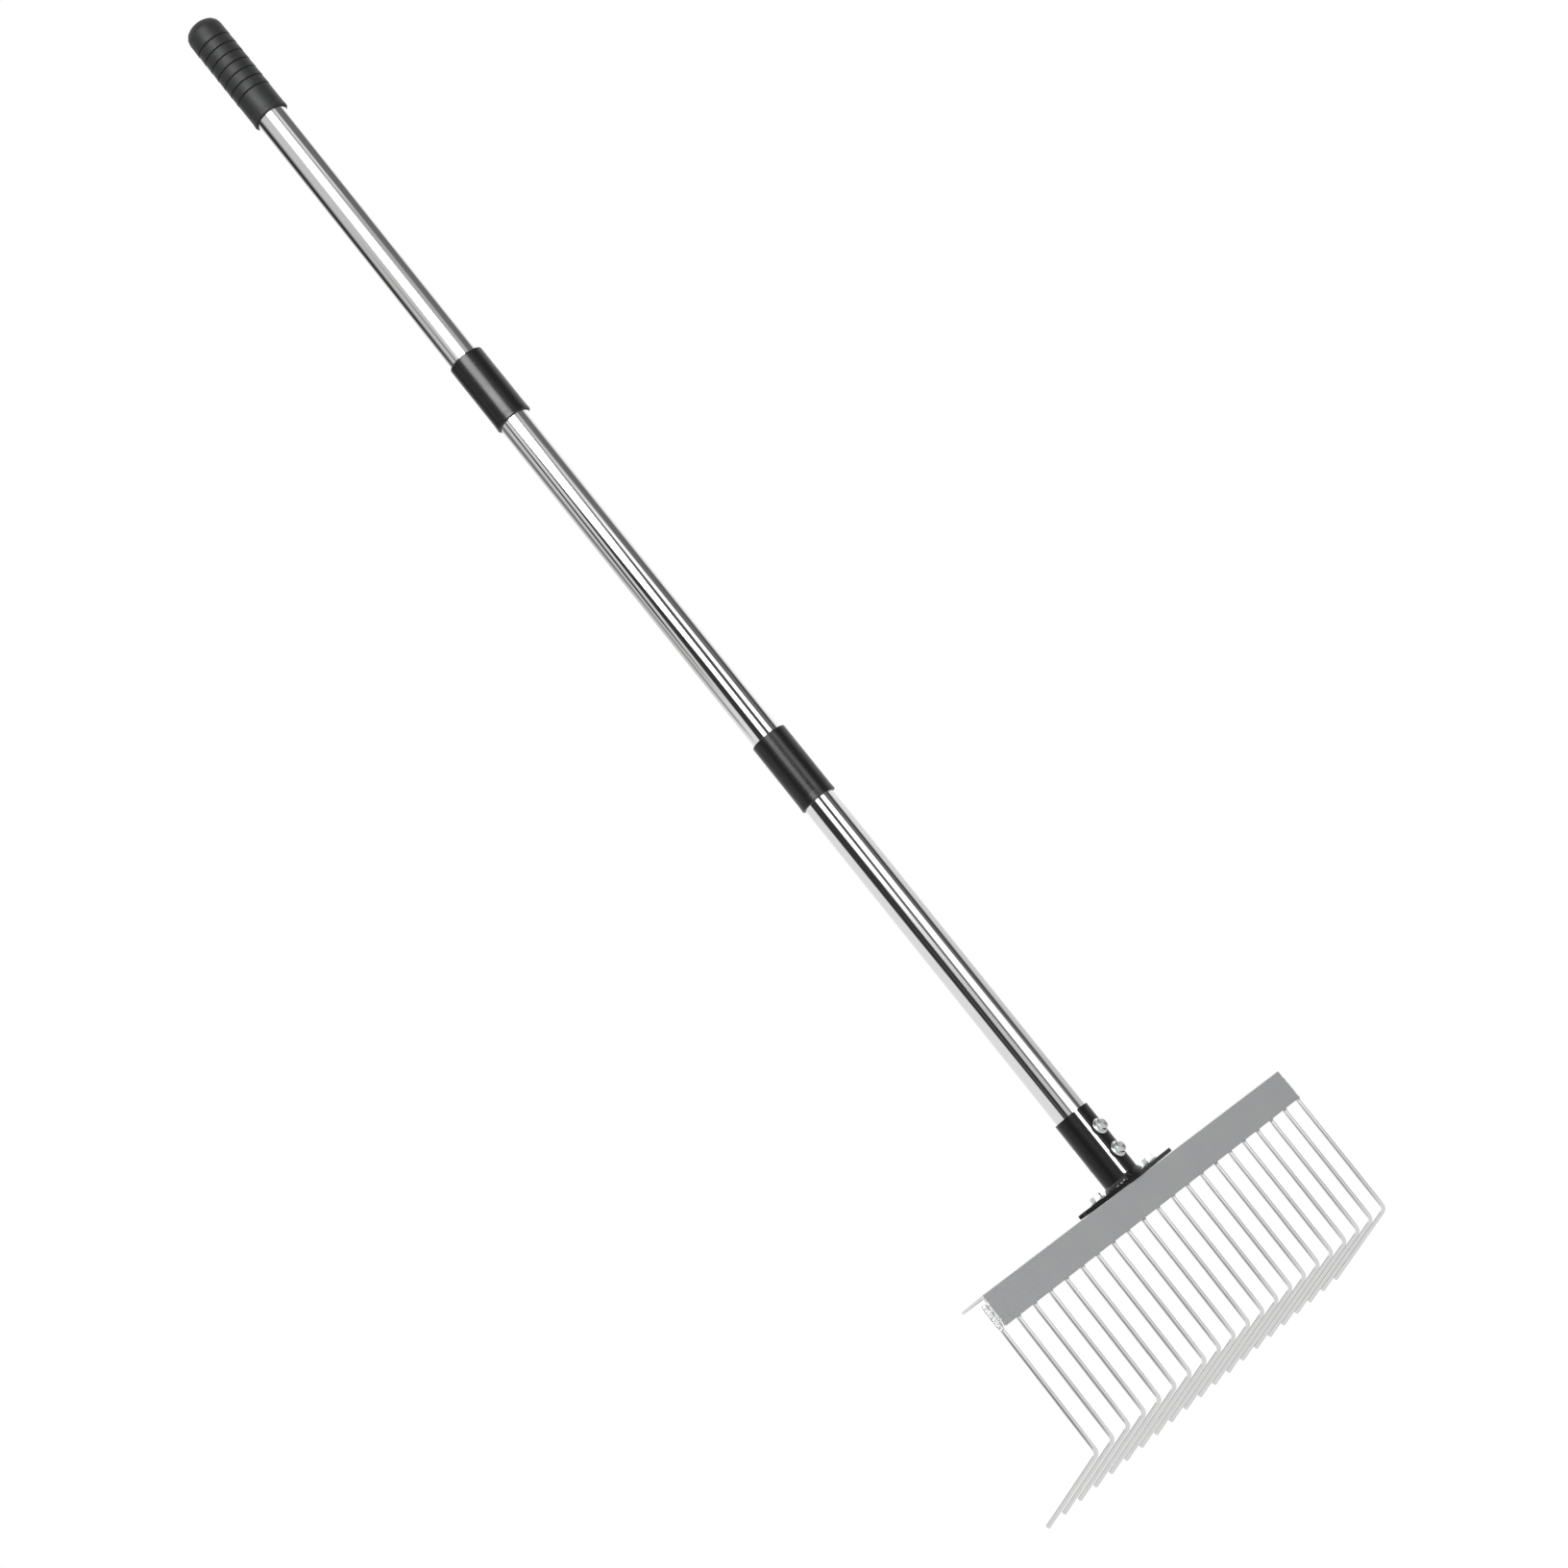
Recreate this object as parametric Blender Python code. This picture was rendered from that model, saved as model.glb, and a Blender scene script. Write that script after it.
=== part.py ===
"""Garden rake: a long three-part tube handle on an angle bar that carries bent wire tines.

Units are metres, +Z runs up the handle, X runs along the bar and the tines reach back along +Y.
The origin is the centre of the bar's front face.
"""
import math

import bmesh
import bpy
from mathutils import Matrix, Vector

MM = 0.001

# Clearances
SEAT_GAP = 0.3 * MM
HOLE_CLEARANCE = 0.3 * MM

# Angle bar
BAR_LENGTH = 401.0 * MM
BAR_LEG = 25.4 * MM
BAR_WALL = 1.8 * MM
BAR_ROOT_RADIUS = 1.5 * MM
BAR_HEEL_RADIUS = 0.6 * MM

# Tines
TINE_COUNT = 21
TINE_DIAMETER = 3.5 * MM
TINE_END_OVERHANG = 1.5 * MM
TINE_TOP_INSET = 5.6 * MM
TINE_DROP = 128.4 * MM
TINE_LEAN = math.radians(0.55)
TINE_BEND = math.radians(76.4)
TINE_BEND_RADIUS = 5.0 * MM
TINE_REACH = 81.8 * MM
TINE_TIP_CHAMFER = 0.3 * MM

# Weld bead that runs down each tine's top, spreads to both sides on the bar and ends below it
TINE_WELD_SPREAD = 1.3 * MM
TINE_WELD_NECK = 0.6 * MM
TINE_WELD_FRONT = math.radians(60.0)
TINE_WELD_SIDE_SHARE = 0.9
TINE_WELD_MARGIN = 1.0 * MM
TINE_WELD_TAIL = 2.0 * MM
TINE_WELD_LUMPS = 3

# Base plate
POLE_SETBACK = 13.1 * MM
PLATE_LENGTH = 120.0 * MM
PLATE_THICKNESS = 3.0 * MM
PLATE_TIP_RADIUS = 4.0 * MM
PLATE_TIP_SWEEP = 0.9
PLATE_TIP_LIFT = 0.6 * MM
PLATE_SEAT_LENGTH = 36.0 * MM
PLATE_HUB_MARGIN = 1.3 * MM
PLATE_BOLT_SPACING = 70.0 * MM

# Pole tubes
TUBE_DIAMETER = 25.4 * MM
TUBE_WALL = 1.0 * MM
LOWER_TUBE_LENGTH = 390.0 * MM
MIDDLE_TUBE_LENGTH = 362.2 * MM
UPPER_TUBE_LENGTH = 346.6 * MM

# Socket tube
SOCKET_WALL = 1.2 * MM
SOCKET_LENGTH = 60.7 * MM
SLOT_WIDTH = 3.5 * MM
SLOT_FOOT = 4.2 * MM
SLOT_ANGLE = math.radians(28.5)
SOCKET_WELD_SIDE_WIDTH = 3.1 * MM
SOCKET_WELD_FRONT_WIDTH = 0.75 * MM
SOCKET_WELD_HEIGHT = 3.8 * MM
SOCKET_WELD_WAVE = 0.1
SOCKET_WELD_LUMPS = 16
SOCKET_WELD_SECTION = ((0.0, 0.0), (1.0, 0.0), (0.85, 0.3), (0.35, 0.72), (0.0, 1.0))

# Screws and nuts, M5
SCREW_DIAMETER = 5.0 * MM
SCREW_HEX_WIDTH = 8.0 * MM
SCREW_HEX_HEIGHT = 3.3 * MM
SCREW_FLANGE_DIAMETER = 12.2 * MM
SCREW_FLANGE_HEIGHT = 1.3 * MM
SCREW_TIP_CHAMFER = 0.6 * MM
SOCKET_BOLT_LOW = 20.9 * MM
SOCKET_BOLT_SPACING = 20.5 * MM
SOCKET_BOLT_PROTRUSION = 3.6 * MM
PLATE_BOLT_PROTRUSION = 1.8 * MM
NUT_HEIGHT = 4.0 * MM

# Coupler sleeves and their threaded plugs
SLEEVE_LENGTH = 60.1 * MM
SLEEVE_WALL = 1.45 * MM
SLEEVE_FLARE = 0.3 * MM
SLEEVE_TOP_CHAMFER = 1.0 * MM
SLEEVE_FOOT_CHAMFER = 0.6 * MM
SLEEVE_SEAT_DEPTH = 38.0 * MM
SLEEVE_WEB = 4.0 * MM
SPIGOT_LENGTH = 32.0 * MM
THREAD_DIAMETER = 16.0 * MM
THREAD_LENGTH = 34.0 * MM
PLUG_LENGTH = 30.0 * MM
PLUG_CHAMFER = 1.0 * MM

# End cap
CAP_LENGTH = 93.0 * MM
CAP_BORE_DEPTH = 85.0 * MM
CAP_WALL = 1.6 * MM
CAP_RIM_FLARE = 0.25 * MM
CAP_RIM_HEIGHT = 6.0 * MM
CAP_TOP_RADIUS = 9.0 * MM
CAP_GROOVE_COUNT = 7
CAP_GROOVE_FIRST = 22.3 * MM
CAP_GROOVE_PITCH = 8.4 * MM
CAP_GROOVE_WIDTH = 1.1 * MM
CAP_GROOVE_DEPTH = 0.7 * MM
CAP_RING_FLARE = 0.25 * MM

# Facets
POLE_FACETS = 32
SHANK_FACETS = 16
TINE_FACETS = 10
TINE_BEND_STEPS = 4
CORNER_STEPS = 3
CUT_OVERSHOOT = 2.0 * MM
FACET_ANGLE = math.radians(35.0)

# Heights and places that follow
BAR_TOP = BAR_LEG / 2
PLATE_FOOT = BAR_TOP + SEAT_GAP
PLATE_TOP = PLATE_FOOT + PLATE_THICKNESS
POLE_FOOT = PLATE_TOP + SEAT_GAP
TUBE_RADIUS = TUBE_DIAMETER / 2
TUBE_BORE = TUBE_RADIUS - TUBE_WALL
SOCKET_BORE = TUBE_RADIUS + SEAT_GAP
SOCKET_RADIUS = SOCKET_BORE + SOCKET_WALL
SCREW_HOLE_RADIUS = SCREW_DIAMETER / 2 + HOLE_CLEARANCE
TINE_RADIUS = TINE_DIAMETER / 2
POLE_AXIS = Matrix.Translation((0.0, POLE_SETBACK, 0.0))

POLISHED_STEEL = ("polished stainless steel", (0.72, 0.72, 0.73), 0.12, 1.0)
MATTE_STEEL = ("matte rolled stainless steel", (0.36, 0.37, 0.38), 0.45, 1.0)
BLACK_PLASTIC = ("black plastic", (0.022, 0.022, 0.023), 0.42, 0.0)
BLACK_COATING = ("black powder coating", (0.008, 0.008, 0.008), 0.25, 0.0)
ZINC = ("bright zinc plating", (0.66, 0.69, 0.70), 0.25, 1.0)
WIRE = ("bright steel wire", (0.62, 0.62, 0.62), 0.2, 1.0)


def material_of(look):
    name, colour, roughness, metallic = look
    material = bpy.data.materials.get(name)
    if material is None:
        material = bpy.data.materials.new(name)
        material.use_nodes = True
        shader = material.node_tree.nodes["Principled BSDF"]
        shader.inputs["Base Color"].default_value = (*colour, 1.0)
        shader.inputs["Roughness"].default_value = roughness
        shader.inputs["Metallic"].default_value = metallic
    return material


def add_object(name, bm, look):
    """Closes off a bmesh as an object with its own material and outward faces."""
    bmesh.ops.recalc_face_normals(bm, faces=bm.faces)
    mesh = bpy.data.meshes.new(name)
    bm.to_mesh(mesh)
    bm.free()
    mesh.shade_smooth()
    mesh.set_sharp_from_angle(angle=FACET_ANGLE)
    obj = bpy.data.objects.new(name, mesh)
    bpy.context.collection.objects.link(obj)
    if look is not None:
        mesh.materials.append(material_of(look))
    return obj


def cut(target, cutter):
    """Takes the cutter out of the target and hides the cutter."""
    cutter.hide_render = True
    cutter.display_type = "WIRE"
    modifier = target.modifiers.new(cutter.name, "BOOLEAN")
    modifier.operation = "DIFFERENCE"
    modifier.solver = "EXACT"
    modifier.object = cutter


def bridge(bm, lower, upper):
    """Joins two rings of vertices; a ring of one vertex is a pole."""
    count = max(len(lower), len(upper))
    for index in range(count):
        following = (index + 1) % count
        if len(lower) == 1:
            corners = (lower[0], upper[index], upper[following])
        elif len(upper) == 1:
            corners = (lower[index], lower[following], upper[0])
        else:
            corners = (lower[index], lower[following], upper[following], upper[index])
        bm.faces.new(corners)


def turned(bm, profile, place, facets=POLE_FACETS, hollow=False):
    """Turns (radius, height) points about Z and moves the result by the place matrix."""
    rings = []
    for radius, height in profile:
        if radius == 0.0:
            rings.append([bm.verts.new(place @ Vector((0.0, 0.0, height)))])
            continue
        ring = []
        for index in range(facets):
            angle = math.tau * (index + 0.5) / facets
            point = Vector((radius * math.cos(angle), radius * math.sin(angle), height))
            ring.append(bm.verts.new(place @ point))
        rings.append(ring)
    for lower, upper in zip(rings, rings[1:]):
        bridge(bm, lower, upper)
    if hollow:
        bridge(bm, rings[-1], rings[0])


def capped_rings(bm, rings):
    """Skins a row of rings and closes both ends with one face each."""
    for lower, upper in zip(rings, rings[1:]):
        bridge(bm, lower, upper)
    bm.faces.new(rings[0])
    bm.faces.new(rings[-1])


def tube_profile(radius, bore, foot, top):
    return [(radius, foot), (radius, top), (bore, top), (bore, foot)]


def rod_profile(radius, foot, top):
    return [(0.0, foot), (radius, foot), (radius, top), (0.0, top)]


def hex_ring(bm, width, height, place):
    corner = width / 2 / math.cos(math.pi / 6)
    ring = []
    for index in range(6):
        angle = math.tau * index / 6
        point = Vector((corner * math.cos(angle), corner * math.sin(angle), height))
        ring.append(bm.verts.new(place @ point))
    return ring


def round_ring(bm, radius, height, place, facets):
    ring = []
    for index in range(facets):
        angle = math.tau * (index + 0.5) / facets
        point = Vector((radius * math.cos(angle), radius * math.sin(angle), height))
        ring.append(bm.verts.new(place @ point))
    return ring


def join_stars(bm, inner, outer):
    """Fills the flat band between two rings of unlike counts, both starting near angle 0."""
    edges = []
    for ring in (inner, outer):
        for index, vert in enumerate(ring):
            following = ring[(index + 1) % len(ring)]
            edge = bm.edges.get((vert, following))
            if edge is None:
                edge = bm.edges.new((vert, following))
            edges.append(edge)
    bmesh.ops.triangle_fill(bm, edges=edges, use_beauty=True, use_dissolve=False)


def hex_screw(bm, place, shank_length):
    """A hex flange screw along +Z: the shank runs up from 0 and the head hangs below 0."""
    shank = SCREW_DIAMETER / 2
    tip = shank - SCREW_TIP_CHAMFER
    rings = [
        round_ring(bm, shank, 0.0, place, SHANK_FACETS),
        round_ring(bm, shank, shank_length - SCREW_TIP_CHAMFER, place, SHANK_FACETS),
        round_ring(bm, tip, shank_length, place, SHANK_FACETS),
    ]
    for lower, upper in zip(rings, rings[1:]):
        bridge(bm, lower, upper)
    bm.faces.new(rings[-1])
    foot = hex_ring(bm, SCREW_HEX_WIDTH, -SCREW_FLANGE_HEIGHT, place)
    crown = hex_ring(bm, SCREW_HEX_WIDTH, -SCREW_FLANGE_HEIGHT - SCREW_HEX_HEIGHT, place)
    bridge(bm, foot, crown)
    bm.faces.new(crown)
    flange = SCREW_FLANGE_DIAMETER / 2
    seat = round_ring(bm, flange, 0.0, place, SHANK_FACETS)
    edge = round_ring(bm, flange, -SCREW_FLANGE_HEIGHT / 2, place, SHANK_FACETS)
    bridge(bm, seat, edge)
    join_stars(bm, rings[0], seat)
    join_stars(bm, foot, edge)


def hex_nut(bm, place):
    """A hex nut that hangs below 0."""
    top = hex_ring(bm, SCREW_HEX_WIDTH, 0.0, place)
    foot = hex_ring(bm, SCREW_HEX_WIDTH, -NUT_HEIGHT, place)
    bore_top = round_ring(bm, SCREW_HOLE_RADIUS, 0.0, place, SHANK_FACETS)
    bore_foot = round_ring(bm, SCREW_HOLE_RADIUS, -NUT_HEIGHT, place, SHANK_FACETS)
    bridge(bm, top, foot)
    bridge(bm, bore_top, bore_foot)
    join_stars(bm, bore_top, top)
    join_stars(bm, bore_foot, foot)


def upright_hole(name, x, y, foot, top):
    bm = bmesh.new()
    place = Matrix.Translation((x, y, 0.0))
    profile = rod_profile(SCREW_HOLE_RADIUS, foot - CUT_OVERSHOOT, top + CUT_OVERSHOOT)
    turned(bm, profile, place, SHANK_FACETS)
    return add_object(name, bm, None)


def plate_bolt_places():
    return [(side * PLATE_BOLT_SPACING / 2, POLE_SETBACK) for side in (-1, 1)]


def socket_bolt_heights():
    low = POLE_FOOT + SOCKET_BOLT_LOW
    return [low, low + SOCKET_BOLT_SPACING]


def screw_frame(y, height):
    """A frame whose +Z runs back along world +Y through the pole axis."""
    return Matrix.Translation((0.0, y, height)) @ Matrix.Rotation(-math.pi / 2, 4, "X")


def cross_holes(name, reach):
    """Rods that cut the socket bolts' holes right through a tube."""
    bm = bmesh.new()
    for height in socket_bolt_heights():
        profile = rod_profile(SCREW_HOLE_RADIUS, -reach, reach)
        turned(bm, profile, screw_frame(POLE_SETBACK, height), SHANK_FACETS)
    return add_object(name, bm, None)


def make_bar():
    bm = bmesh.new()
    outline = []
    for step in range(CORNER_STEPS + 1):
        angle = step * math.pi / 2 / CORNER_STEPS
        y = BAR_HEEL_RADIUS * (1 - math.sin(angle))
        outline.append((y, BAR_TOP - BAR_HEEL_RADIUS * (1 - math.cos(angle))))
    outline += [(0.0, BAR_TOP - BAR_LEG), (BAR_WALL, BAR_TOP - BAR_LEG)]
    centre_y = BAR_WALL + BAR_ROOT_RADIUS
    centre_z = BAR_TOP - BAR_WALL - BAR_ROOT_RADIUS
    for step in range(CORNER_STEPS + 1):
        angle = math.pi - step * math.pi / 2 / CORNER_STEPS
        y = centre_y + BAR_ROOT_RADIUS * math.cos(angle)
        z = centre_z + BAR_ROOT_RADIUS * math.sin(angle)
        outline.append((y, z))
    outline += [(BAR_LEG, BAR_TOP - BAR_WALL), (BAR_LEG, BAR_TOP)]
    rings = []
    for x in (-BAR_LENGTH / 2, BAR_LENGTH / 2):
        rings.append([bm.verts.new((x, y, z)) for y, z in outline])
    capped_rings(bm, rings)
    bar = add_object("angle_bar", bm, MATTE_STEEL)
    for side, (x, y) in zip(("left", "right"), plate_bolt_places()):
        cut(bar, upright_hole("bar_hole_" + side, x, y, BAR_TOP - BAR_WALL, BAR_TOP))


def tine_line():
    """(y, z, lean) of a tine's centre line through its bend, and its top and its tip."""
    top_y = BAR_WALL + SEAT_GAP + TINE_RADIUS
    top_z = BAR_TOP - TINE_TOP_INSET
    corner_z = BAR_TOP - TINE_DROP
    corner_y = top_y + (top_z - corner_z) * math.tan(TINE_LEAN)
    turn = TINE_BEND - TINE_LEAN
    setback = TINE_BEND_RADIUS * math.tan(turn / 2)
    centre_y = corner_y - setback * math.sin(TINE_LEAN) + TINE_BEND_RADIUS * math.cos(TINE_LEAN)
    centre_z = corner_z + setback * math.cos(TINE_LEAN) + TINE_BEND_RADIUS * math.sin(TINE_LEAN)
    bend = []
    for step in range(TINE_BEND_STEPS + 1):
        lean = TINE_LEAN + turn * step / TINE_BEND_STEPS
        y = centre_y - TINE_BEND_RADIUS * math.cos(lean)
        z = centre_z - TINE_BEND_RADIUS * math.sin(lean)
        bend.append((y, z, lean))
    tip_y = corner_y + TINE_REACH * math.sin(TINE_BEND)
    tip_z = corner_z - TINE_REACH * math.cos(TINE_BEND)
    return (top_y, top_z), bend, (tip_y, tip_z)


def tine_xs():
    pitch = (BAR_LENGTH + 2 * TINE_END_OVERHANG) / (TINE_COUNT - 1)
    return [(index - (TINE_COUNT - 1) / 2) * pitch for index in range(TINE_COUNT)]


def wire_ring(bm, x, y, z, lean, radius):
    ring = []
    for index in range(TINE_FACETS):
        angle = math.tau * (index + 0.5) / TINE_FACETS
        out = radius * math.sin(angle)
        point = (x + radius * math.cos(angle), y - out * math.cos(lean), z - out * math.sin(lean))
        ring.append(bm.verts.new(point))
    return ring


def weld_ring(bm, x, y, z, spread):
    """A wire's ring whose front is drawn out flat along the bar's inner face."""
    face_y = BAR_WALL + SEAT_GAP
    ring = []
    for index in range(TINE_FACETS):
        angle = math.tau * (index + 0.5) / TINE_FACETS
        across = TINE_RADIUS * math.cos(angle)
        point_y = y - TINE_RADIUS * math.sin(angle)
        off_front = abs(angle - math.pi / 2)
        if off_front < TINE_WELD_FRONT:
            point_y = face_y
            across *= 1 + spread / TINE_RADIUS
        elif off_front < math.pi / 2:
            across *= 1 + spread * TINE_WELD_SIDE_SHARE / TINE_RADIUS
        ring.append(bm.verts.new((x + across, point_y, z)))
    return ring


def make_tine(name, x):
    """A bent wire whose top carries its weld bead, fused to it."""
    (top_y, top_z), bend, (tip_y, tip_z) = tine_line()
    bm = bmesh.new()
    rings = [wire_ring(bm, x, top_y, top_z, TINE_LEAN, TINE_RADIUS)]
    weld_top = top_z - TINE_WELD_MARGIN
    weld_foot = BAR_TOP - BAR_LEG - TINE_WELD_TAIL
    steps = 2 * TINE_WELD_LUMPS
    for step in range(steps + 1):
        z = weld_top + (weld_foot - weld_top) * step / steps
        y = top_y + (top_z - z) * math.tan(TINE_LEAN)
        spread = TINE_WELD_SPREAD if step % 2 else TINE_WELD_NECK
        rings.append(weld_ring(bm, x, y, z, spread))
    neck_z = weld_foot - TINE_WELD_MARGIN
    neck_y = top_y + (top_z - neck_z) * math.tan(TINE_LEAN)
    rings.append(wire_ring(bm, x, neck_y, neck_z, TINE_LEAN, TINE_RADIUS))
    for y, z, lean in bend:
        rings.append(wire_ring(bm, x, y, z, lean, TINE_RADIUS))
    back_y = tip_y - TINE_TIP_CHAMFER * math.sin(TINE_BEND)
    back_z = tip_z + TINE_TIP_CHAMFER * math.cos(TINE_BEND)
    rings.append(wire_ring(bm, x, back_y, back_z, TINE_BEND, TINE_RADIUS))
    rings.append(wire_ring(bm, x, tip_y, tip_z, TINE_BEND, TINE_RADIUS - TINE_TIP_CHAMFER))
    capped_rings(bm, rings)
    add_object(name, bm, WIRE)


def plate_outline():
    """(x, half width) from the left tip to the right tip: two small arcs joined to a hub arc."""
    hub = SOCKET_RADIUS + PLATE_HUB_MARGIN
    tip_x = PLATE_LENGTH / 2 - PLATE_TIP_RADIUS
    slope = math.asin((hub - PLATE_TIP_RADIUS) / tip_x)
    right = []
    for step in range(CORNER_STEPS + 1):
        angle = slope * step / CORNER_STEPS
        right.append((hub * math.sin(angle), hub * math.cos(angle)))
    seat = PLATE_SEAT_LENGTH / 2
    hub_x, hub_y = right[-1]
    end_x = tip_x + PLATE_TIP_RADIUS * math.sin(slope)
    end_y = PLATE_TIP_RADIUS * math.cos(slope)
    right.append((seat, hub_y + (end_y - hub_y) * (seat - hub_x) / (end_x - hub_x)))
    for step in range(CORNER_STEPS + 1):
        angle = slope + (math.pi / 2 - slope) * PLATE_TIP_SWEEP * step / CORNER_STEPS
        x = tip_x + PLATE_TIP_RADIUS * math.sin(angle)
        right.append((x, PLATE_TIP_RADIUS * math.cos(angle)))
    left = [(-x, width) for x, width in reversed(right[1:])]
    return left + right


def plate_rise(x):
    """How far the bowed-up wings have lifted off the bar at x."""
    seat = PLATE_SEAT_LENGTH / 2
    share = (abs(x) - seat) / (PLATE_LENGTH / 2 - seat)
    return PLATE_TIP_LIFT * max(0.0, share)


def make_plate():
    bm = bmesh.new()
    rings = []
    for x, half_width in plate_outline():
        foot = PLATE_FOOT + plate_rise(x)
        top = foot + PLATE_THICKNESS
        corners = [
            (x, POLE_SETBACK - half_width, foot),
            (x, POLE_SETBACK + half_width, foot),
            (x, POLE_SETBACK + half_width, top),
            (x, POLE_SETBACK - half_width, top),
        ]
        rings.append([bm.verts.new(corner) for corner in corners])
    capped_rings(bm, rings)
    plate = add_object("base_plate", bm, BLACK_COATING)
    for side, (x, y) in zip(("left", "right"), plate_bolt_places()):
        cut(plate, upright_hole("plate_hole_" + side, x, y, PLATE_FOOT, PLATE_TOP))


def make_socket():
    bm = bmesh.new()
    top = POLE_FOOT + SOCKET_LENGTH
    turned(bm, tube_profile(SOCKET_RADIUS, SOCKET_BORE, POLE_FOOT, top), POLE_AXIS, hollow=True)
    socket = add_object("socket_tube", bm, BLACK_COATING)
    cut(socket, cross_holes("socket_holes", SOCKET_RADIUS + CUT_OVERSHOOT))
    half = SLOT_WIDTH / 2
    foot = POLE_FOOT + SLOT_FOOT + half
    outline = [(-half, top + CUT_OVERSHOOT)]
    for step in range(2 * CORNER_STEPS + 1):
        angle = math.pi + math.pi * step / (2 * CORNER_STEPS)
        outline.append((half * math.cos(angle), foot + half * math.sin(angle)))
    outline.append((half, top + CUT_OVERSHOOT))
    turn = Matrix.Rotation(-SLOT_ANGLE, 4, "Z")
    bm = bmesh.new()
    rings = []
    for y in (-SOCKET_RADIUS - CUT_OVERSHOOT, 0.0):
        ring = [bm.verts.new(POLE_AXIS @ turn @ Vector((x, y, z))) for x, z in outline]
        rings.append(ring)
    capped_rings(bm, rings)
    cut(socket, add_object("socket_slot", bm, None))


def make_socket_weld():
    """A lumpy fillet round the socket's foot, wide over the wings and narrow at front and rear."""
    bm = bmesh.new()
    inner = SOCKET_RADIUS + SEAT_GAP
    rings = []
    facets = 2 * SOCKET_WELD_LUMPS
    for width, height in SOCKET_WELD_SECTION:
        ring = []
        for index in range(facets):
            angle = math.tau * index / facets
            side = math.cos(angle) ** 2
            reach = SOCKET_WELD_SIDE_WIDTH * side + SOCKET_WELD_FRONT_WIDTH * (1 - side)
            radius = inner + width * reach * (1 + SOCKET_WELD_WAVE * (-1) ** index)
            point = Vector((
                radius * math.cos(angle),
                radius * math.sin(angle),
                POLE_FOOT + height * SOCKET_WELD_HEIGHT,
            ))
            ring.append(bm.verts.new(POLE_AXIS @ point))
        rings.append(ring)
    for lower, upper in zip(rings, rings[1:]):
        bridge(bm, lower, upper)
    bridge(bm, rings[-1], rings[0])
    add_object("socket_weld", bm, BLACK_COATING)


def make_socket_bolts():
    seat_y = POLE_SETBACK - SOCKET_RADIUS - SEAT_GAP
    length = 2 * SOCKET_RADIUS + SEAT_GAP + SOCKET_BOLT_PROTRUSION
    for side, height in zip(("lower", "upper"), socket_bolt_heights()):
        bm = bmesh.new()
        place = screw_frame(seat_y, height)
        hex_screw(bm, place, length)
        add_object("socket_bolt_" + side, bm, ZINC)


def make_plate_bolts():
    head_seat = PLATE_TOP + plate_rise((PLATE_BOLT_SPACING + SCREW_FLANGE_DIAMETER) / 2) + SEAT_GAP
    nut_seat = BAR_TOP - BAR_WALL - SEAT_GAP
    length = head_seat - nut_seat + NUT_HEIGHT + PLATE_BOLT_PROTRUSION
    for side, (x, y) in zip(("left", "right"), plate_bolt_places()):
        bm = bmesh.new()
        place = Matrix.Translation((x, y, head_seat)) @ Matrix.Rotation(math.pi, 4, "X")
        hex_screw(bm, place, length)
        add_object("plate_bolt_" + side, bm, ZINC)
        bm = bmesh.new()
        hex_nut(bm, Matrix.Translation((x, y, nut_seat)))
        add_object("plate_nut_" + side, bm, ZINC)


def make_tube(name, foot, length):
    bm = bmesh.new()
    profile = tube_profile(TUBE_RADIUS, TUBE_BORE, foot, foot + length)
    turned(bm, profile, POLE_AXIS, hollow=True)
    return add_object(name, bm, POLISHED_STEEL)


def make_sleeve(name, foot):
    """A sleeve whose lower half grips the tube below inside and out, and takes a screw from above."""
    bore = TUBE_RADIUS + SEAT_GAP
    spigot = TUBE_BORE - SEAT_GAP
    thread = THREAD_DIAMETER / 2 + SEAT_GAP
    top_radius = bore + SLEEVE_WALL
    foot_radius = top_radius + SLEEVE_FLARE
    top = foot + SLEEVE_LENGTH
    seat = foot + SLEEVE_SEAT_DEPTH
    web_top = seat + SLEEVE_WEB
    profile = [
        (foot_radius - SLEEVE_FOOT_CHAMFER, foot),
        (foot_radius, foot + SLEEVE_FOOT_CHAMFER),
        (top_radius, top - SLEEVE_TOP_CHAMFER),
        (top_radius - SLEEVE_TOP_CHAMFER, top),
        (bore, top),
        (bore, web_top),
        (thread, web_top),
        (thread, seat - SPIGOT_LENGTH),
        (spigot, seat - SPIGOT_LENGTH),
        (spigot, seat),
        (bore, seat),
        (bore, foot),
    ]
    bm = bmesh.new()
    turned(bm, profile, POLE_AXIS, hollow=True)
    add_object(name, bm, BLACK_PLASTIC)


def make_plug(name, shoulder):
    """A plug that fills the tube above and screws into the sleeve below."""
    core = TUBE_BORE - SEAT_GAP
    thread = THREAD_DIAMETER / 2
    profile = [
        (0.0, shoulder - THREAD_LENGTH),
        (thread - PLUG_CHAMFER, shoulder - THREAD_LENGTH),
        (thread, shoulder - THREAD_LENGTH + PLUG_CHAMFER),
        (thread, shoulder),
        (core, shoulder),
        (core, shoulder + PLUG_LENGTH - PLUG_CHAMFER),
        (core - PLUG_CHAMFER, shoulder + PLUG_LENGTH),
        (0.0, shoulder + PLUG_LENGTH),
    ]
    bm = bmesh.new()
    turned(bm, profile, POLE_AXIS)
    add_object(name, bm, BLACK_PLASTIC)


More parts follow.
